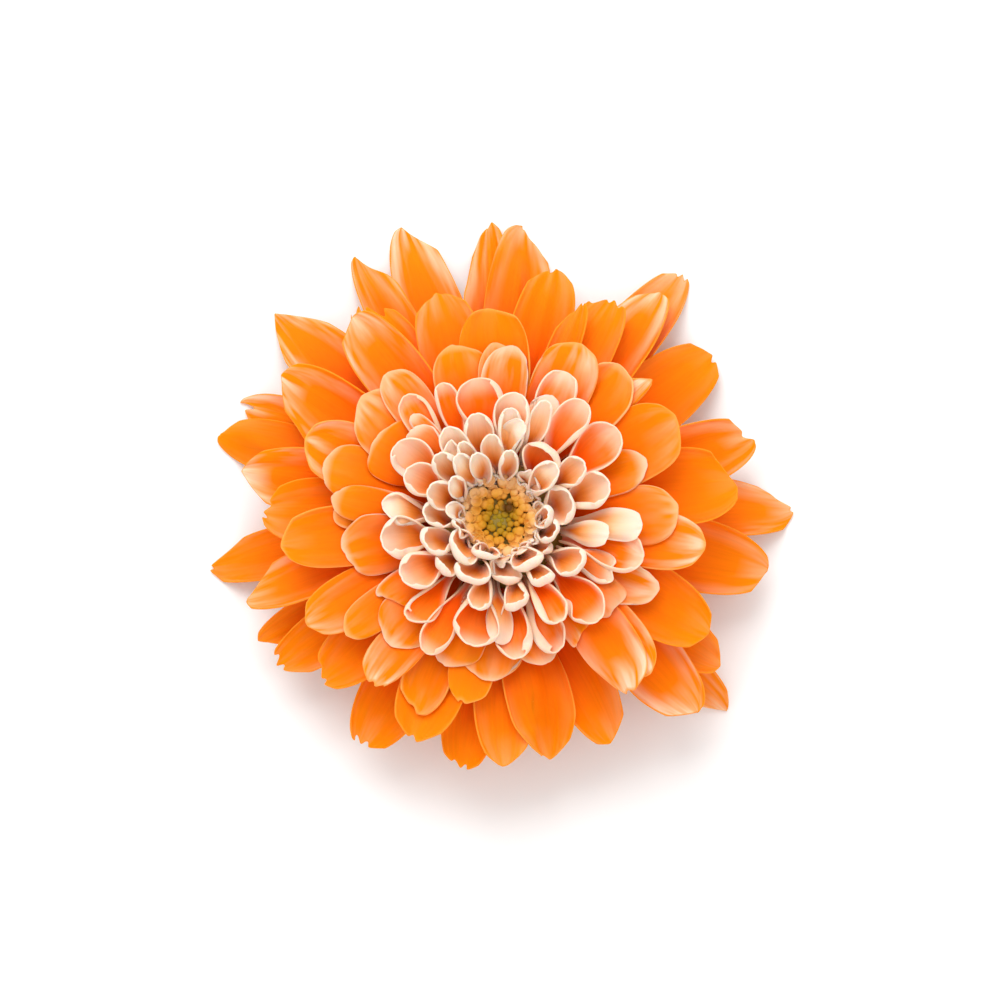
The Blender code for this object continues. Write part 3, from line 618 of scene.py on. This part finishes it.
class Dressed(Outline):
    """The fine form of a floret: curled margins and tip, ribs, teeth and a point to one side."""

    def __init__(self, floret, sizes):
        self.floret = floret
        reach, chance, look = floret.reach, floret.chance, floret.look
        outward = ramp(reach, *OUTWARD)
        floret.roll += math.radians(look.get("twist", 0))
        floret.bearing += math.radians(look.get("shift", 0))
        for name, table in FORM.items():
            setattr(self, name, look.get(name, from_table(table, reach)))
        for name, ends in SPANS.items():
            setattr(self, name, mix(*ends, outward))
        self.curls = [curl * self.curl * sizes.curl for curl in look.get("curls", (1, 1))]
        closed = (1 - HOOD_BELOW * math.cos(floret.bearing)) * (1 + HOOD_CHANCE * chance[5])
        self.hood *= look.get("closed", closed) * sizes.curl
        if floret.spare:
            self.hood *= SPARE_HOOD
        self.length = (floret.tip - floret.root).length
        self.stretch = 1 + look.get("longer", LONGER * outward) * MM / self.length
        self.half = floret.half * look.get("wide", 1)
        self.claw *= floret.claw
        self.blunt *= floret.blunt
        self.wave *= MM
        self.blush = look.get("blush", 1 - ramp(reach + BLUSH_CHANCE * chance[1], *BLUSH))
        self.pale = look.get("pale", self.pale * abs(chance[3]))
        self.apex = look.get("apex", APEX_CHANCE * chance[4]) * outward
        self.point = look.get("point", mix(*POINTS, abs(chance[4]) * outward))
        self.inset = mix(*INSET, 0.5 - 0.5 * math.cos(floret.bearing)) * MM * ramp(reach, *INSET_REACH)
        floret.nearest -= NEARER + self.inset
        self.hidden, self.part, self.search, self.columns = UPPER_TIER if floret.upper else LOWER_TIER
        self.ribs = look.get("ribs", sizes.rib_depth / MM) * MM
        self.teeth = look.get("teeth", 0)
        self.depth = look.get("depth", TOOTH_DEPTH)
        self.phase = PHASE * chance[0]

    def shortened(self, along, across):
        """The share of the length that is left at a place across, where the tip is pointed and toothed."""
        fall = self.point * (abs(across - self.apex) / (1 + abs(self.apex))) ** Blade.corner
        for tooth in range(self.teeth):
            place = (tooth - (self.teeth - 1) / 2) * TOOTH_SPACING + TOOTH_SHIFT * math.sin(self.phase)
            fall += self.depth * max(0.0, 1 - abs(across - place) / TOOTH_HALF_WIDTH)
        return along * (1 - fall * ease(along))

    def place(self, along, x, z, across):
        """The place of a point of the cross section, with the tip curled in, and which way is up there."""
        along = self.shortened(along, across)
        half = self.half_width(along)
        along *= self.stretch
        held = min(along, self.start)
        place, direction = self.floret.midrib(held)
        past = (along - held) * self.length
        if past > 0:
            turn = self.hood * past / ((1 - self.start) * self.length)
            ahead, aside = (math.sin(turn) / turn, (1 - math.cos(turn)) / turn) if turn else (1.0, 0.0)
            square = Vector((-direction.y, direction.x))
            place = place + past * (ahead * direction + aside * square)
            direction = math.cos(turn) * direction + math.sin(turn) * square
        out, side, up = self.floret.axes(along, direction)
        ribs = (self.ribs * math.cos(RIBS * math.pi * across) * (1 - across * across)
                * ease(ramp(along, *RIBS_RISE)))
        wave = noise.noise(Vector((self.phase, MARGIN_WAVES * along, across))) * self.wave * across * across
        radius = place.x - self.inset * max(0, 1 - along)
        return radius * out + Vector((0, 0, place.y)) + side * half * x + up * (half * z + ribs + wave), up

    def formed(self, bm, columns, rows):
        """Adds the middle surface: for each of its points the place across and along and which way is up."""
        spots = gridded(bm, columns, rows, CROWDING)
        halves = {}
        for vert, (across, along) in spots.items():
            across = mix(across, math.sin(across * math.pi / 2), SIDE_CROWDING)
            key = round(along, 4)
            if key not in halves:
                cup = mix(self.tube, self.cup, ease(ramp(along, self.opening, OPEN)))
                waves = [noise.noise(Vector((self.phase, CURL_WAVES * along, side))) for side in (0, 9)]
                halves[key] = section(cup, [curl * (1 + CURL_CHANCE * wave)
                                            for curl, wave in zip(self.curls, waves)], self.fringe)
            place, up = self.place(along, *on_section(halves[key], across), across)
            vert.co = self.floret.cleared(place)
            spots[vert] = across, along, up
        return spots

    def crossings(self, placed):
        """How many triangles of a coarse sheet cross florets already placed, where they can be seen."""
        bm = bmesh.new()
        self.formed(bm, *COARSE)
        bmesh.ops.triangulate(bm, faces=bm.faces)
        seen = [max(vert.co.xy.length for vert in face.verts) > self.hidden for face in bm.faces]
        tree = BVHTree.FromBMesh(bm)
        bm.free()
        return sum(seen[pair[0]] for other in placed for pair in tree.overlap(other))

    def settle(self, placed):
        """Lifts the middle surface off the florets already placed, keeps its points and gives its tree."""
        bm = bmesh.new()
        spots = self.formed(bm, self.columns, self.columns)
        needs = {}
        for vert, (_, _, up) in spots.items():
            start = vert.co + up * self.search
            depth = self.search + self.part
            hits = [tree.ray_cast(start, -up, depth)[3] for tree in placed]
            free = min((hit for hit in hits if hit is not None), default=depth)
            needs[vert] = (depth - free) * ramp(vert.co.xy.length, HIDDEN_FADE * self.hidden, self.hidden)
        # Round each point that is lifted its neighbours rise as far, so that no margin below comes through.
        needs = {vert: max(need, *(needs[edge.other_vert(vert)] for edge in vert.link_edges))
                 for vert, need in needs.items()}
        lifts = needs
        for _ in range(SPREADING):
            lifts = {vert: max(needs[vert], sum(lifts[edge.other_vert(vert)] for edge in vert.link_edges)
                               / len(vert.link_edges)) for vert in needs}
        for vert, (_, along, up) in spots.items():
            vert.co = self.floret.grounded(vert.co + up * lifts[vert] * ramp(along, 0, ROOTED))
        self.points = [vert.co.copy() for vert in spots]
        for point in self.points:
            point.z = min(point.z, mix(CROWN, point.z, CROWN_SHARE))
        tree = BVHTree.FromBMesh(bm)
        bm.free()
        return tree

    def add(self, bm):
        """Adds the middle surface, with its UV map and the attributes that its finish reads."""
        layers = [bm.verts.layers.float[name] for name in MARKS]
        spots = self.formed(bm, self.columns, self.columns)
        for (vert, (across, along, _)), point in zip(spots.items(), self.points):
            vert.co = point
            edge = min((1 - abs(across)) * self.half_width(along) * MARGIN,
                       (1 - along) * self.length * self.tip_margin)
            marks = edge / MM * max(1, NARROW / self.half), self.blush, self.pale, self.phase
            for layer, mark in zip(layers, marks):
                vert[layer] = mark
        charted(bm, spots)


def eased(blades, sizes, placed):
    """Dresses florets one by one, the longest first, each bent a little more where that parts it from others.

    The trees of those already placed are in a list, which theirs are added to.
    """
    trials = sorted((abs(lift) / MM + abs(arch) / max(EASE_ARCHES) + abs(turn) / max(EASE_TURNS),
                     lift, arch, turn)
                    for lift in EASE_LIFTS for arch in EASE_ARCHES for turn in EASE_TURNS)
    dressed = []
    for blade in blades:
        best, least = None, math.inf
        for strain, *bend in trials:
            if strain >= least:
                break
            trial = Dressed(blade.bent(*bend), sizes)
            cost = trial.crossings(placed) + strain
            if cost < least:
                best, least = trial, cost
        if blade.spare and least > SPARE_CROSSINGS:
            continue
        placed.append(best.settle(placed))
        dressed.append(best)
    return dressed


def node(tree, kind, *inputs, output=0, stops=(), **settings):
    """Adds a shader node and gives one of its outputs.

    Its inputs, in order or by name, are linked to the sockets or set to the numbers and hex colours given.
    """
    made = tree.nodes.new("ShaderNode" + kind)
    for number, (position, colour) in enumerate(stops):
        elements = made.color_ramp.elements
        stop = elements[number] if number < 2 else elements.new(position)
        stop.position = position
        stop.color = linear(colour)
    values = dict(enumerate(inputs))
    for name, value in settings.items():
        if hasattr(made, name):
            setattr(made, name, value)
        else:
            values[name] = value
    for key, value in values.items():
        if isinstance(value, bpy.types.NodeSocket):
            tree.links.new(value, made.inputs[key])
        else:
            made.inputs[key].default_value = linear(value) if isinstance(value, str) else value
    return made.outputs[output]


def material(name, **sockets):
    """A new material with its shader's plain sockets set, and what adds a node to it."""
    made = bpy.data.materials.new(name)
    made.use_nodes = True
    shader = made.node_tree.nodes["Principled BSDF"]
    for socket, value in sockets.items():
        shader.inputs[socket.replace("_", " ")].default_value = value
    return made, functools.partial(node, made.node_tree)


def finished(made, colour, pattern=None, strength=0.3):
    """The material with its colour, and with relief of up to 0.2 mm where a pattern is given."""
    links, shader = made.node_tree.links, made.node_tree.nodes["Principled BSDF"]
    links.new(colour, shader.inputs["Base Color"])
    if pattern is not None:
        bump = node(made.node_tree, "Bump", strength, 0.2 * MM, Height=pattern)
        links.new(bump, shader.inputs["Normal"])
    return made


def streaks(add, where, scale, **settings):
    """Soft noise, drawn out by its scale on each axis."""
    stretched = add("Mapping", where, Scale=scale)
    return add("TexNoise", stretched, Scale=1.0, Detail=2.0, **settings)


def from_axis(add):
    """Where a point is, the same without its height, and how far it is from the axis."""
    where = add("TexCoord", output="Object")
    flat = add("VectorMath", where, (1, 1, 0), operation="MULTIPLY")
    return where, flat, add("VectorMath", flat, operation="LENGTH", output="Value")


def petal_material(name, colours, pale_colours, paling):
    """A ray floret's skin: thin, moist cell walls over pigment, satin and slightly see-through, with fine
    lengthwise veins, which show as soft streaks that pale toward the tip."""
    made, add = material(name, Roughness=0.6, IOR=1.4, Specular_IOR_Level=0.08, Subsurface_Weight=0.4,
                          Subsurface_Radius=(1.0, 0.5, 0.25), Subsurface_Scale=MM)
    uv = add("UVMap", uv_map="floret")
    along = add("SeparateXYZ", uv, output="Y")
    margin, blush, pale, chance = (add("Attribute", attribute_name=mark, output="Fac") for mark in MARKS)
    # Veins are about 0.3 mm apart on a floret 8 mm wide, and stretch over a quarter of its length.
    veins = streaks(add, uv, (22, 2.5, 1), noise_dimensions="4D", W=chance)
    patches = streaks(add, uv, (5, 2.5, 1), noise_dimensions="4D", W=chance)
    orange = add("ValToRGB", along, stops=colours)
    peach = add("ValToRGB", along, stops=pale_colours)
    paler = add("MapRange", blush, *paling, interpolation_type="SMOOTHSTEP")
    # Painted shade: those beside the disc are mixed toward a deep orange in the throat, where their hollows
    # lie in shade.
    inward = add("MapRange", blush, 0.78, 0.95)
    throat_shade = add("MapRange", along, 0.3, 0.72, 1.0, 0.0)
    throat_shade = add("Math", inward, throat_shade, operation="MULTIPLY")
    peach = add("MixRGB", throat_shade, peach, "#D8680C")
    colour = add("MixRGB", paler, orange, peach)
    veined = add("MapRange", veins, 0.35, 0.65, 0.93, 1.0)
    colour = add("MixRGB", 1.0, colour, veined, blend_type="MULTIPLY")
    # Pale patches lie within 3 mm of the margin in the outer half.
    rising = add("MapRange", along, 0.5, 0.9)
    beside = add("MapRange", margin, 0.0, 3.0, 1.0, 0.0)
    patched = add("MapRange", patches, 0.42, 0.62)
    for share in (rising, beside, patched):
        pale = add("Math", pale, share, operation="MULTIPLY")
    colour = add("MixRGB", pale, colour, "#FFD8BA")
    # The margin's cream is a line of 0.2 mm on an orange floret and fades over 2 mm on a cream one.
    reach = add("MapRange", blush, 0.0, 1.0, 0.2, 2.0)
    edge = add("MapRange", margin, 0.0, reach, 0.9, 0.0, interpolation_type="SMOOTHSTEP")
    rim = add("ValToRGB", blush, stops=RIM)
    return finished(made, add("MixRGB", edge, colour, rim), veins, 0.2)


FACE = ((0.0, "#EC4000"), (1.0, "#FF8C00"), (0.45, "#FF5E00"), (0.75, "#FF7800"))
# The cream florets' face deepens to brown-orange toward the root: partly their own colour, partly painted
# shade of the hollow at their base.
PALE_FACE = ((0.0, "#A84A00"), (1.0, "#FFDCC0"), (0.34, "#DC6A0C"), (0.5, "#F69440"), (0.68, "#FFBA84"))
BACK = ((0.0, "#F07A20"), (1.0, "#FF9C44"), (0.5, "#FA862A"))
# Their back deepens to orange toward the root: partly its own colour, partly painted shade in the orange of
# light that bounces between florets.
PALE_BACK = ((0.0, "#D47C20"), (1.0, "#F9E8DA"), (0.4, "#F4C088"), (0.7, "#F8DEC6"))
# The margin's colour, from an orange floret's to one beside the disc.
RIM = ((0.0, "#FF8C1C"), (1.0, "#F8E6D4"), (0.18, "#FFA24C"), (0.4, "#FFC8A6"), (0.7, "#FCDEC8"))


def added(name, data):
    """A new object in the scene."""
    obj = bpy.data.objects.new(name, data)
    bpy.context.scene.collection.objects.link(obj)
    return obj


def piece(name, bm, finishes, *nodes):
    """Turns a bmesh into a smooth piece of the head that stands for these nodes."""
    for face in bm.faces:
        face.smooth = True
    mesh = bpy.data.meshes.new(name)
    bm.to_mesh(mesh)
    bm.free()
    for finish in finishes:
        mesh.materials.append(finish)
    obj = added(name, mesh)
    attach(obj, "root")
    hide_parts(*nodes)
    return obj


def thickened(obj, thickness):
    """Gives a piece's sheets a thickness and softens them. Returns the modifier with the thickness."""
    shell = obj.modifiers.new("Thickness", "SOLIDIFY")
    shell.thickness = thickness
    shell.offset = 0
    soft = obj.modifiers.new("Softness", "SUBSURF")
    soft.levels = soft.render_levels = 1
    return shell


def petals(name, blades, sizes, node_name):
    """One whorl: fine sheets with a thickness, whose back and rim have the paler finish."""
    bm = bmesh.new()
    bm.loops.layers.uv.new("floret")
    for mark in MARKS:
        bm.verts.layers.float.new(mark)
    for blade in blades:
        blade.add(bm)
    finishes = (petal_material("Ray floret, upper face", FACE, PALE_FACE, (0.52, 0.74)),
                petal_material("Ray floret, back and rim", BACK, PALE_BACK, (0.15, 0.45)))
    shell = thickened(piece(name, bm, finishes, node_name), sizes.thickness)
    shell.material_offset = shell.material_offset_rim = 1


class FlowerSizes(bpy.types.PropertyGroup):
    """Sizes of the head's fine pieces."""

    thickness: FloatProperty(name="Floret thickness", description="Thickness of a ray floret",
                             default=0.25 * MM, min=0.1 * MM, max=0.6 * MM, unit="LENGTH", precision=5)
    rib_depth: FloatProperty(name="Rib depth", description="Height of a floret's lengthwise ribs",
                             default=0.1 * MM, min=0, max=0.4 * MM, unit="LENGTH", precision=5)
    curl: FloatProperty(name="Curl", description="How far margins and tips curl in",
                        default=1.0, min=0, max=1.5, subtype="FACTOR")
    bud_radius: FloatProperty(name="Bud radius", description="Radius of a disc floret's bud at the rim",
                              default=0.5 * MM, min=0.2 * MM, max=0.9 * MM, unit="LENGTH", precision=5)
    buds: IntProperty(name="Buds", description="How many disc florets there are",
                      default=120, min=20, max=250)
    ring: IntProperty(name="Rolled florets",
                      description="How many rolled florets stand right beside the disc",
                      default=18, min=0, max=40)


class FlowerColours(bpy.types.PropertyGroup):
    """Colours of the scene that a user may change."""

    floor: FloatVectorProperty(name="Floor", description="Colour of the floor", subtype="COLOR", size=4,
                               default=linear("#FCFCFB"), min=0, max=1)


class FLOWER_OT_outer_florets(bpy.types.Operator):
    """Add the orange ray florets of the two outer whorls"""

    bl_idname = "flower.outer_florets"
    bl_label = "Outer florets"

    def execute(self, context):
        sizes = context.scene.flower_sizes
        LAID.clear()
        blades = eased(laid(GUARD + MIDDLE, random.Random(SEED), LOWER_RADIUS, DOME_TOP), sizes, LAID)
        whorls = ([], [])
        for blade in blades:
            whorls[blade.floret.made[0] not in GUARD].append(blade)
        petals("guard_florets", whorls[0], sizes, "outer_florets")
        petals("middle_florets", whorls[1], sizes, "outer_florets")
        return {"FINISHED"}


class FLOWER_OT_inner_florets(bpy.types.Operator):
    """Add the cream-rimmed, spoon-shaped ray florets round the disc"""

    bl_idname = "flower.inner_florets"
    bl_label = "Inner florets"

    def execute(self, context):
        sizes = context.scene.flower_sizes
        draw = random.Random(SEED)
        blades = laid(SPOON + INNERMOST, draw, UPPER_RADIUS, UPPER_RIM_HEIGHT)
        for number in range(sizes.ring):
            bearing = 360 * (number + draw.uniform(-RING_JITTER, RING_JITTER)) / sizes.ring
            chance = [draw.uniform(-1, 1) for _ in range(6)]
            small = row(bearing, draw.uniform(*RING_REACHES), draw.uniform(*RING_WIDTHS))
            blades.append(Floret(*small, chance=chance, lift=-draw.uniform(*RING_DROPS) * MM, spare=True))
        blades = eased(blades, sizes, list(LAID))
        whorls = ([], [])
        for blade in blades:
            whorls[blade.floret.reach < INNERMOST_LONGEST].append(blade)
        petals("spoon_florets", whorls[0], sizes, "inner_florets")
        petals("innermost_florets", whorls[1], sizes, "inner_florets")
        return {"FINISHED"}


class FLOWER_OT_disc_florets(bpy.types.Operator):
    """Add the disc florets' buds"""

    bl_idname = "flower.disc_florets"
    bl_label = "Disc florets"

    def execute(self, context):
        sizes = context.scene.flower_sizes
        bm = bmesh.new()
        draw = random.Random(SEED)
        for number in range(sizes.buds):
            share = math.sqrt((number + 0.5) / sizes.buds)
            radius = share * BUDS_RADIUS + draw.uniform(-OUT_CHANCE, OUT_CHANCE) * MM
            angle = number * GOLDEN_ANGLE + draw.uniform(-ROUND_CHANCE, ROUND_CHANCE)
            girth = sizes.bud_radius * mix(*BUD_GIRTHS, share) * draw.uniform(*GIRTH_CHANCE)
            tall = girth * mix(*BUD_HEIGHTS, share) * draw.uniform(*HEIGHT_CHANCE)
            profile = OPEN_BUD if share > OPEN_FROM and draw.random() < OPEN_CHANCE else BUD
            turned = draw.uniform(0, math.tau)
            outward = Vector((math.sin(angle), math.cos(angle), 0))
            height = mix(DISC_EYE_HEIGHT, DISC_RIM_HEIGHT, ease(share)) - BUDS_SINK
            foot = Vector((radius * math.sin(angle), radius * math.cos(angle) + BUDS_SHIFT, height))
            lean = outward * mix(*BUD_LEANS, share) * draw.uniform(*LEAN_SPREAD)
            for vert in bmesh.ops.create_uvsphere(bm, u_segments=10, v_segments=8, radius=1)["verts"]:
                turn = math.atan2(vert.co.y, vert.co.x)
                up = 1 - math.acos(max(-1, min(1, vert.co.z))) / math.pi
                out, lift, lobe = (from_table(column, up) for column in profile)
                out *= girth * (1 + lobe * math.cos(LOBES * turn))
                lift *= tall * (1 + lobe * math.cos(LOBES * turn) / 2)
                vert.co = (out * math.cos(turn + turned), out * math.sin(turn + turned), lift)
                vert.co += lean * vert.co.z
                vert.co += foot
        piece("disc_buds", bm, [bud_material()], "disc_florets")
        return {"FINISHED"}


def bud_material():
    """Disc florets: waxy closed corollas, tan-yellow at the rim and olive green in the unripe middle."""
    made, add = material("Disc floret, waxy bud", Roughness=0.5, IOR=1.4, Specular_IOR_Level=0.2)
    where, flat, radius = from_axis(add)
    share = add("MapRange", radius, 0.0, BUDS_RADIUS)
    # Blotches about 0.8 mm wide keep neighbouring buds from matching.
    blotch = add("TexNoise", where, Scale=1 / (0.8 * MM))
    blotch = add("MapRange", blotch, 0.0, 1.0, -0.2, 0.2)
    share = add("Math", share, blotch, operation="ADD")
    colour = add("ValToRGB", share, stops=(
        (0.0, "#988610"), (1.0, "#F6C68A"), (0.35, "#B28616"), (0.6, "#D89628"), (0.82, "#EAAC50")))
    # Painted shade: a dark brown spot on the buds stands for the shade in a gap among them.
    pit_shade = add("VectorMath", flat, (1.0 * MM, 1.65 * MM, 0), operation="DISTANCE", output="Value")
    pit_shade = add("MapRange", pit_shade, 0.5 * MM, 1.1 * MM, 0.9, 0.0)
    return finished(made, add("MixRGB", pit_shade, colour, "#4E2A04"))


class FLOWER_OT_receptacle(bpy.types.Operator):
    """Add the receptacle that every floret grows from"""

    bl_idname = "flower.receptacle"
    bl_label = "Receptacle"

    def execute(self, context):
        finish = green_material("Receptacle, green pith", "#8A7A22", "#A88A3C", 1.2 * MM)
        piece("receptacle", spun(RECEPTACLE), [finish], "outer_florets", "inner_florets")
        return {"FINISHED"}


class FLOWER_OT_involucre(bpy.types.Operator):
    """Add the green cup under the florets, with its bracts"""

    bl_idname = "flower.involucre"
    bl_label = "Involucre"

    def execute(self, context):
        finish = green_material("Involucre, leaf tissue", "#5E7A2E", "#7C9444", 0.9 * MM)
        piece("involucre_cup", spun(CUP), [finish], "involucre")
        bm = bmesh.new()
        bm.loops.layers.uv.new("floret")
        draw = random.Random(SEED)
        for number, (count, root, tip) in enumerate(BRACT_ROWS):
            for place in range(count):
                bearing = 360 * (place + number / len(BRACT_ROWS)) / count + draw.uniform(-3, 3)
                bract = Blade(bearing, Vector(root) * MM, Vector(tip) * MM, rise=math.radians(30),
                              fall=math.radians(52), width=3.3 * MM * draw.uniform(0.9, 1.05), claw=0.8,
                              root_cup=0.5, tip_cup=0.5)
                bract.widest = 0.42
                bract.blunt = bract.rounding = 0.12
                spots = gridded(bm, 8, 9, bract.crowding)
                for vert, (across, along) in spots.items():
                    keel = KEEL * (1 - min(1, abs(across) / KEEL_HALF_WIDTH)) * ease(1 - along)
                    vert.co = bract.point(along, across) - Vector((0, 0, keel))
                charted(bm, spots)
        thickened(piece("bracts", bm, [bract_material()], "involucre"), BRACT_THICKNESS)
        return {"FINISHED"}


def bract_material():
    """A bract: downy leaf green along the keel, with a thin, dry, straw-brown margin."""
    made, add = material("Bract, leaf tissue with dry margin", Roughness=0.7, IOR=1.4)
    uv = add("UVMap", uv_map="floret")
    across, along = (add("SeparateXYZ", uv, output=axis) for axis in "XY")
    aside = add("Math", across, 0.5, operation="SUBTRACT")
    aside = add("Math", aside, operation="ABSOLUTE")
    tip = add("MapRange", along, 0.8, 1.0, 0.0, 0.12)
    aside = add("Math", aside, tip, operation="ADD")
    share = add("MapRange", aside, 0.0, 0.5)
    colour = add("ValToRGB", share, stops=(
        (0.0, "#8AA05A"), (1.0, "#B89868"), (0.06, "#6C8A3C"), (0.7, "#5E7E32"), (0.86, "#A89A60")))
    # Veins are about 0.25 mm apart on a bract 3 mm wide.
    veins = streaks(add, uv, (12, 1.5, 1))
    veined = add("MapRange", veins, 0.3, 0.7, 0.75, 1.0)
    colour = add("MixRGB", 1.0, colour, veined, blend_type="MULTIPLY")
    return finished(made, colour, veins, 0.4)


class FLOWER_OT_stalk(bpy.types.Operator):
    """Add the ribbed stub of stalk with its cut face"""

    bl_idname = "flower.stalk"
    bl_label = "Stalk"

    def execute(self, context):
        bm = bmesh.new()
        bmesh.ops.create_cone(bm, cap_ends=True, segments=STALK_RIBS * 8, radius1=STALK_RADIUS,
                              radius2=3.3 * MM, depth=STALK_LENGTH)
        bmesh.ops.translate(bm, verts=bm.verts, vec=(0, 0, STALK_LENGTH / 2))
        upright = [edge for edge in bm.edges if abs(edge.verts[0].co.z - edge.verts[1].co.z) > MM]
        bmesh.ops.subdivide_edges(bm, edges=upright, cuts=6)
        ends = [face for face in bm.faces if abs(face.normal.z) > 0.9]
        bmesh.ops.inset_region(bm, faces=ends, thickness=0.35 * MM)
        ends = [face for face in bm.faces if len(face.verts) > 4]
        bmesh.ops.inset_individual(bm, faces=ends, thickness=0.9 * MM)
        for vert in bm.verts:
            ribs = (math.cos(STALK_RIBS * math.atan2(vert.co.y, vert.co.x))
                    * ramp(math.hypot(vert.co.x, vert.co.y), 1.5 * MM, STALK_RADIUS))
            vert.co.xy *= 1 - STALK_RIB_DEPTH + STALK_RIB_DEPTH * ribs
        obj = piece("cut_stalk", bm, [stalk_material()], "stalk")
        for face in obj.data.polygons:
            face.use_smooth = abs(face.normal.z) < 0.5
        return {"FINISHED"}


def stalk_material():
    """A cut stalk: matt green skin with paler ribs, and a moist cut face with a pale pith in a green ring."""
    made, add = material("Stalk, green skin and cut pith", Roughness=0.6, IOR=1.4)
    where, _, radius = from_axis(add)
    share = add("MapRange", radius, 0.0, 3.0 * MM)
    cut = add("ValToRGB", share, stops=(
        (0.0, "#E4E6C4"), (1.0, "#6E8C3E"), (0.55, "#D8DEB0"), (0.68, "#8EA85A"), (0.85, "#A8BC74")))
    # Lengthwise fibres are about 0.3 mm apart.
    fibres = streaks(add, where, (1 / (0.3 * MM), 1 / (0.3 * MM), 1 / (4 * MM)))
    bark = add("MixRGB", fibres, "#5C7A30", "#8FA85A")
    height = add("SeparateXYZ", where, output="Z")
    side = add("MapRange", height, 0.01 * MM, 0.05 * MM)
    return finished(made, add("MixRGB", side, cut, bark), fibres)


def spun(profile, steps=48):
    """A closed bmesh, spun about the axis from a profile of (radius, height) points in mm."""
    bm = bmesh.new()
    verts = [bm.verts.new((radius * MM, 0, height * MM)) for radius, height in profile]
    edges = [bm.edges.new(pair) for pair in zip(verts, verts[1:])]
    bmesh.ops.spin(bm, geom=verts + edges, axis=(0, 0, 1), cent=(0, 0, 0), angle=math.tau, steps=steps,
                   use_merge=True)
    bmesh.ops.remove_doubles(bm, verts=bm.verts, dist=0.001 * MM)
    bmesh.ops.recalc_face_normals(bm, faces=bm.faces)
    return bm


def green_material(name, dark, light, grain):
    """Fresh green tissue, matt and faintly mottled. The grain is the mottle's size."""
    made, add = material(name, Roughness=0.6, IOR=1.4)
    where = add("TexCoord", output="Object")
    mottle = add("TexNoise", where, Scale=1 / grain, Detail=3.0)
    return finished(made, add("MixRGB", mottle, dark, light), mottle)


# Lamps: name, place and width in metres, and power in watts.
LAMPS = (
    ("softbox", (-0.15, 0.45, 0.65), 0.6, 4.2),
    ("fill", (0.3, -0.4, 0.7), 0.8, 1.1),
)
WORLD_STRENGTH = 0.8
FLOOR_REACH = 1.5
# The flower is looked down on from this far off the vertical, and 125 mm of it spans the picture.
VIEW_TILT = math.radians(10)
VIEW_AIM = Vector((0, 0, 15.5 * MM))
VIEW_DISTANCE = 0.6
LENS = 172.8
LENS_SHIFT = 0.019


class FLOWER_OT_stage(bpy.types.Operator):
    """Add the floor, the light and the camera"""

    bl_idname = "flower.stage"
    bl_label = "Stage"

    def execute(self, context):
        scene = context.scene
        bm = bmesh.new()
        bmesh.ops.create_grid(bm, x_segments=1, y_segments=1, size=FLOOR_REACH)
        mesh = bpy.data.meshes.new("floor")
        bm.to_mesh(mesh)
        bm.free()
        floor = added("floor", mesh)
        mesh.materials.append(material("Matt white paper", Roughness=0.9,
                                       Base_Color=scene.flower_colours.floor)[0])
        world = bpy.data.worlds.new("Studio")
        world.use_nodes = True
        sky = world.node_tree.nodes["Background"].inputs
        sky["Color"].default_value = linear("#FFFFFF")
        sky["Strength"].default_value = WORLD_STRENGTH
        scene.world = world
        for name, place, size, power in LAMPS:
            lamp = bpy.data.lights.new(name, "AREA")
            lamp.size = size
            lamp.energy = power
            light = added(name, lamp)
            light.location = place
            light.rotation_euler = Vector(place).to_track_quat("Z", "Y").to_euler()
        scene.view_settings.view_transform = "Standard"
        lens = bpy.data.cameras.new("camera")
        lens.lens = LENS
        lens.shift_y = LENS_SHIFT
        camera = added("camera", lens)
        back = Vector((0, -math.sin(VIEW_TILT), math.cos(VIEW_TILT)))
        camera.location = VIEW_AIM + VIEW_DISTANCE * back
        camera.rotation_euler = back.to_track_quat("Z", "Y").to_euler()
        scene.camera = camera
        return {"FINISHED"}


class FLOWER_PT_panel(bpy.types.Panel):
    """Lists the head's pieces and settings in the sidebar."""

    bl_idname = "FLOWER_PT_panel"
    bl_label = "Flower"
    bl_space_type = "VIEW_3D"
    bl_region_type = "UI"
    bl_category = "Flower"

    def draw(self, context):
        for group in (context.scene.flower_sizes, context.scene.flower_colours):
            for name in group.__annotations__:
                self.layout.prop(group, name)
        for operator in OPERATORS:
            self.layout.operator(operator.bl_idname)


OPERATORS = (
    FLOWER_OT_stage,
    FLOWER_OT_stalk,
    FLOWER_OT_involucre,
    FLOWER_OT_receptacle,
    FLOWER_OT_disc_florets,
    FLOWER_OT_outer_florets,
    FLOWER_OT_inner_florets,
)
CLASSES = (FlowerSizes, FlowerColours, *OPERATORS, FLOWER_PT_panel)


def register():
    for each in CLASSES:
        bpy.utils.register_class(each)
    bpy.types.Scene.flower_sizes = PointerProperty(type=FlowerSizes)
    bpy.types.Scene.flower_colours = PointerProperty(type=FlowerColours)


def unregister():
    del bpy.types.Scene.flower_colours
    del bpy.types.Scene.flower_sizes
    for each in reversed(CLASSES):
        bpy.utils.unregister_class(each)


def main():
    register()
    for operator in OPERATORS:
        group, name = operator.bl_idname.split(".")
        getattr(getattr(bpy.ops, group), name)()


if __name__ == "__main__":
    main()
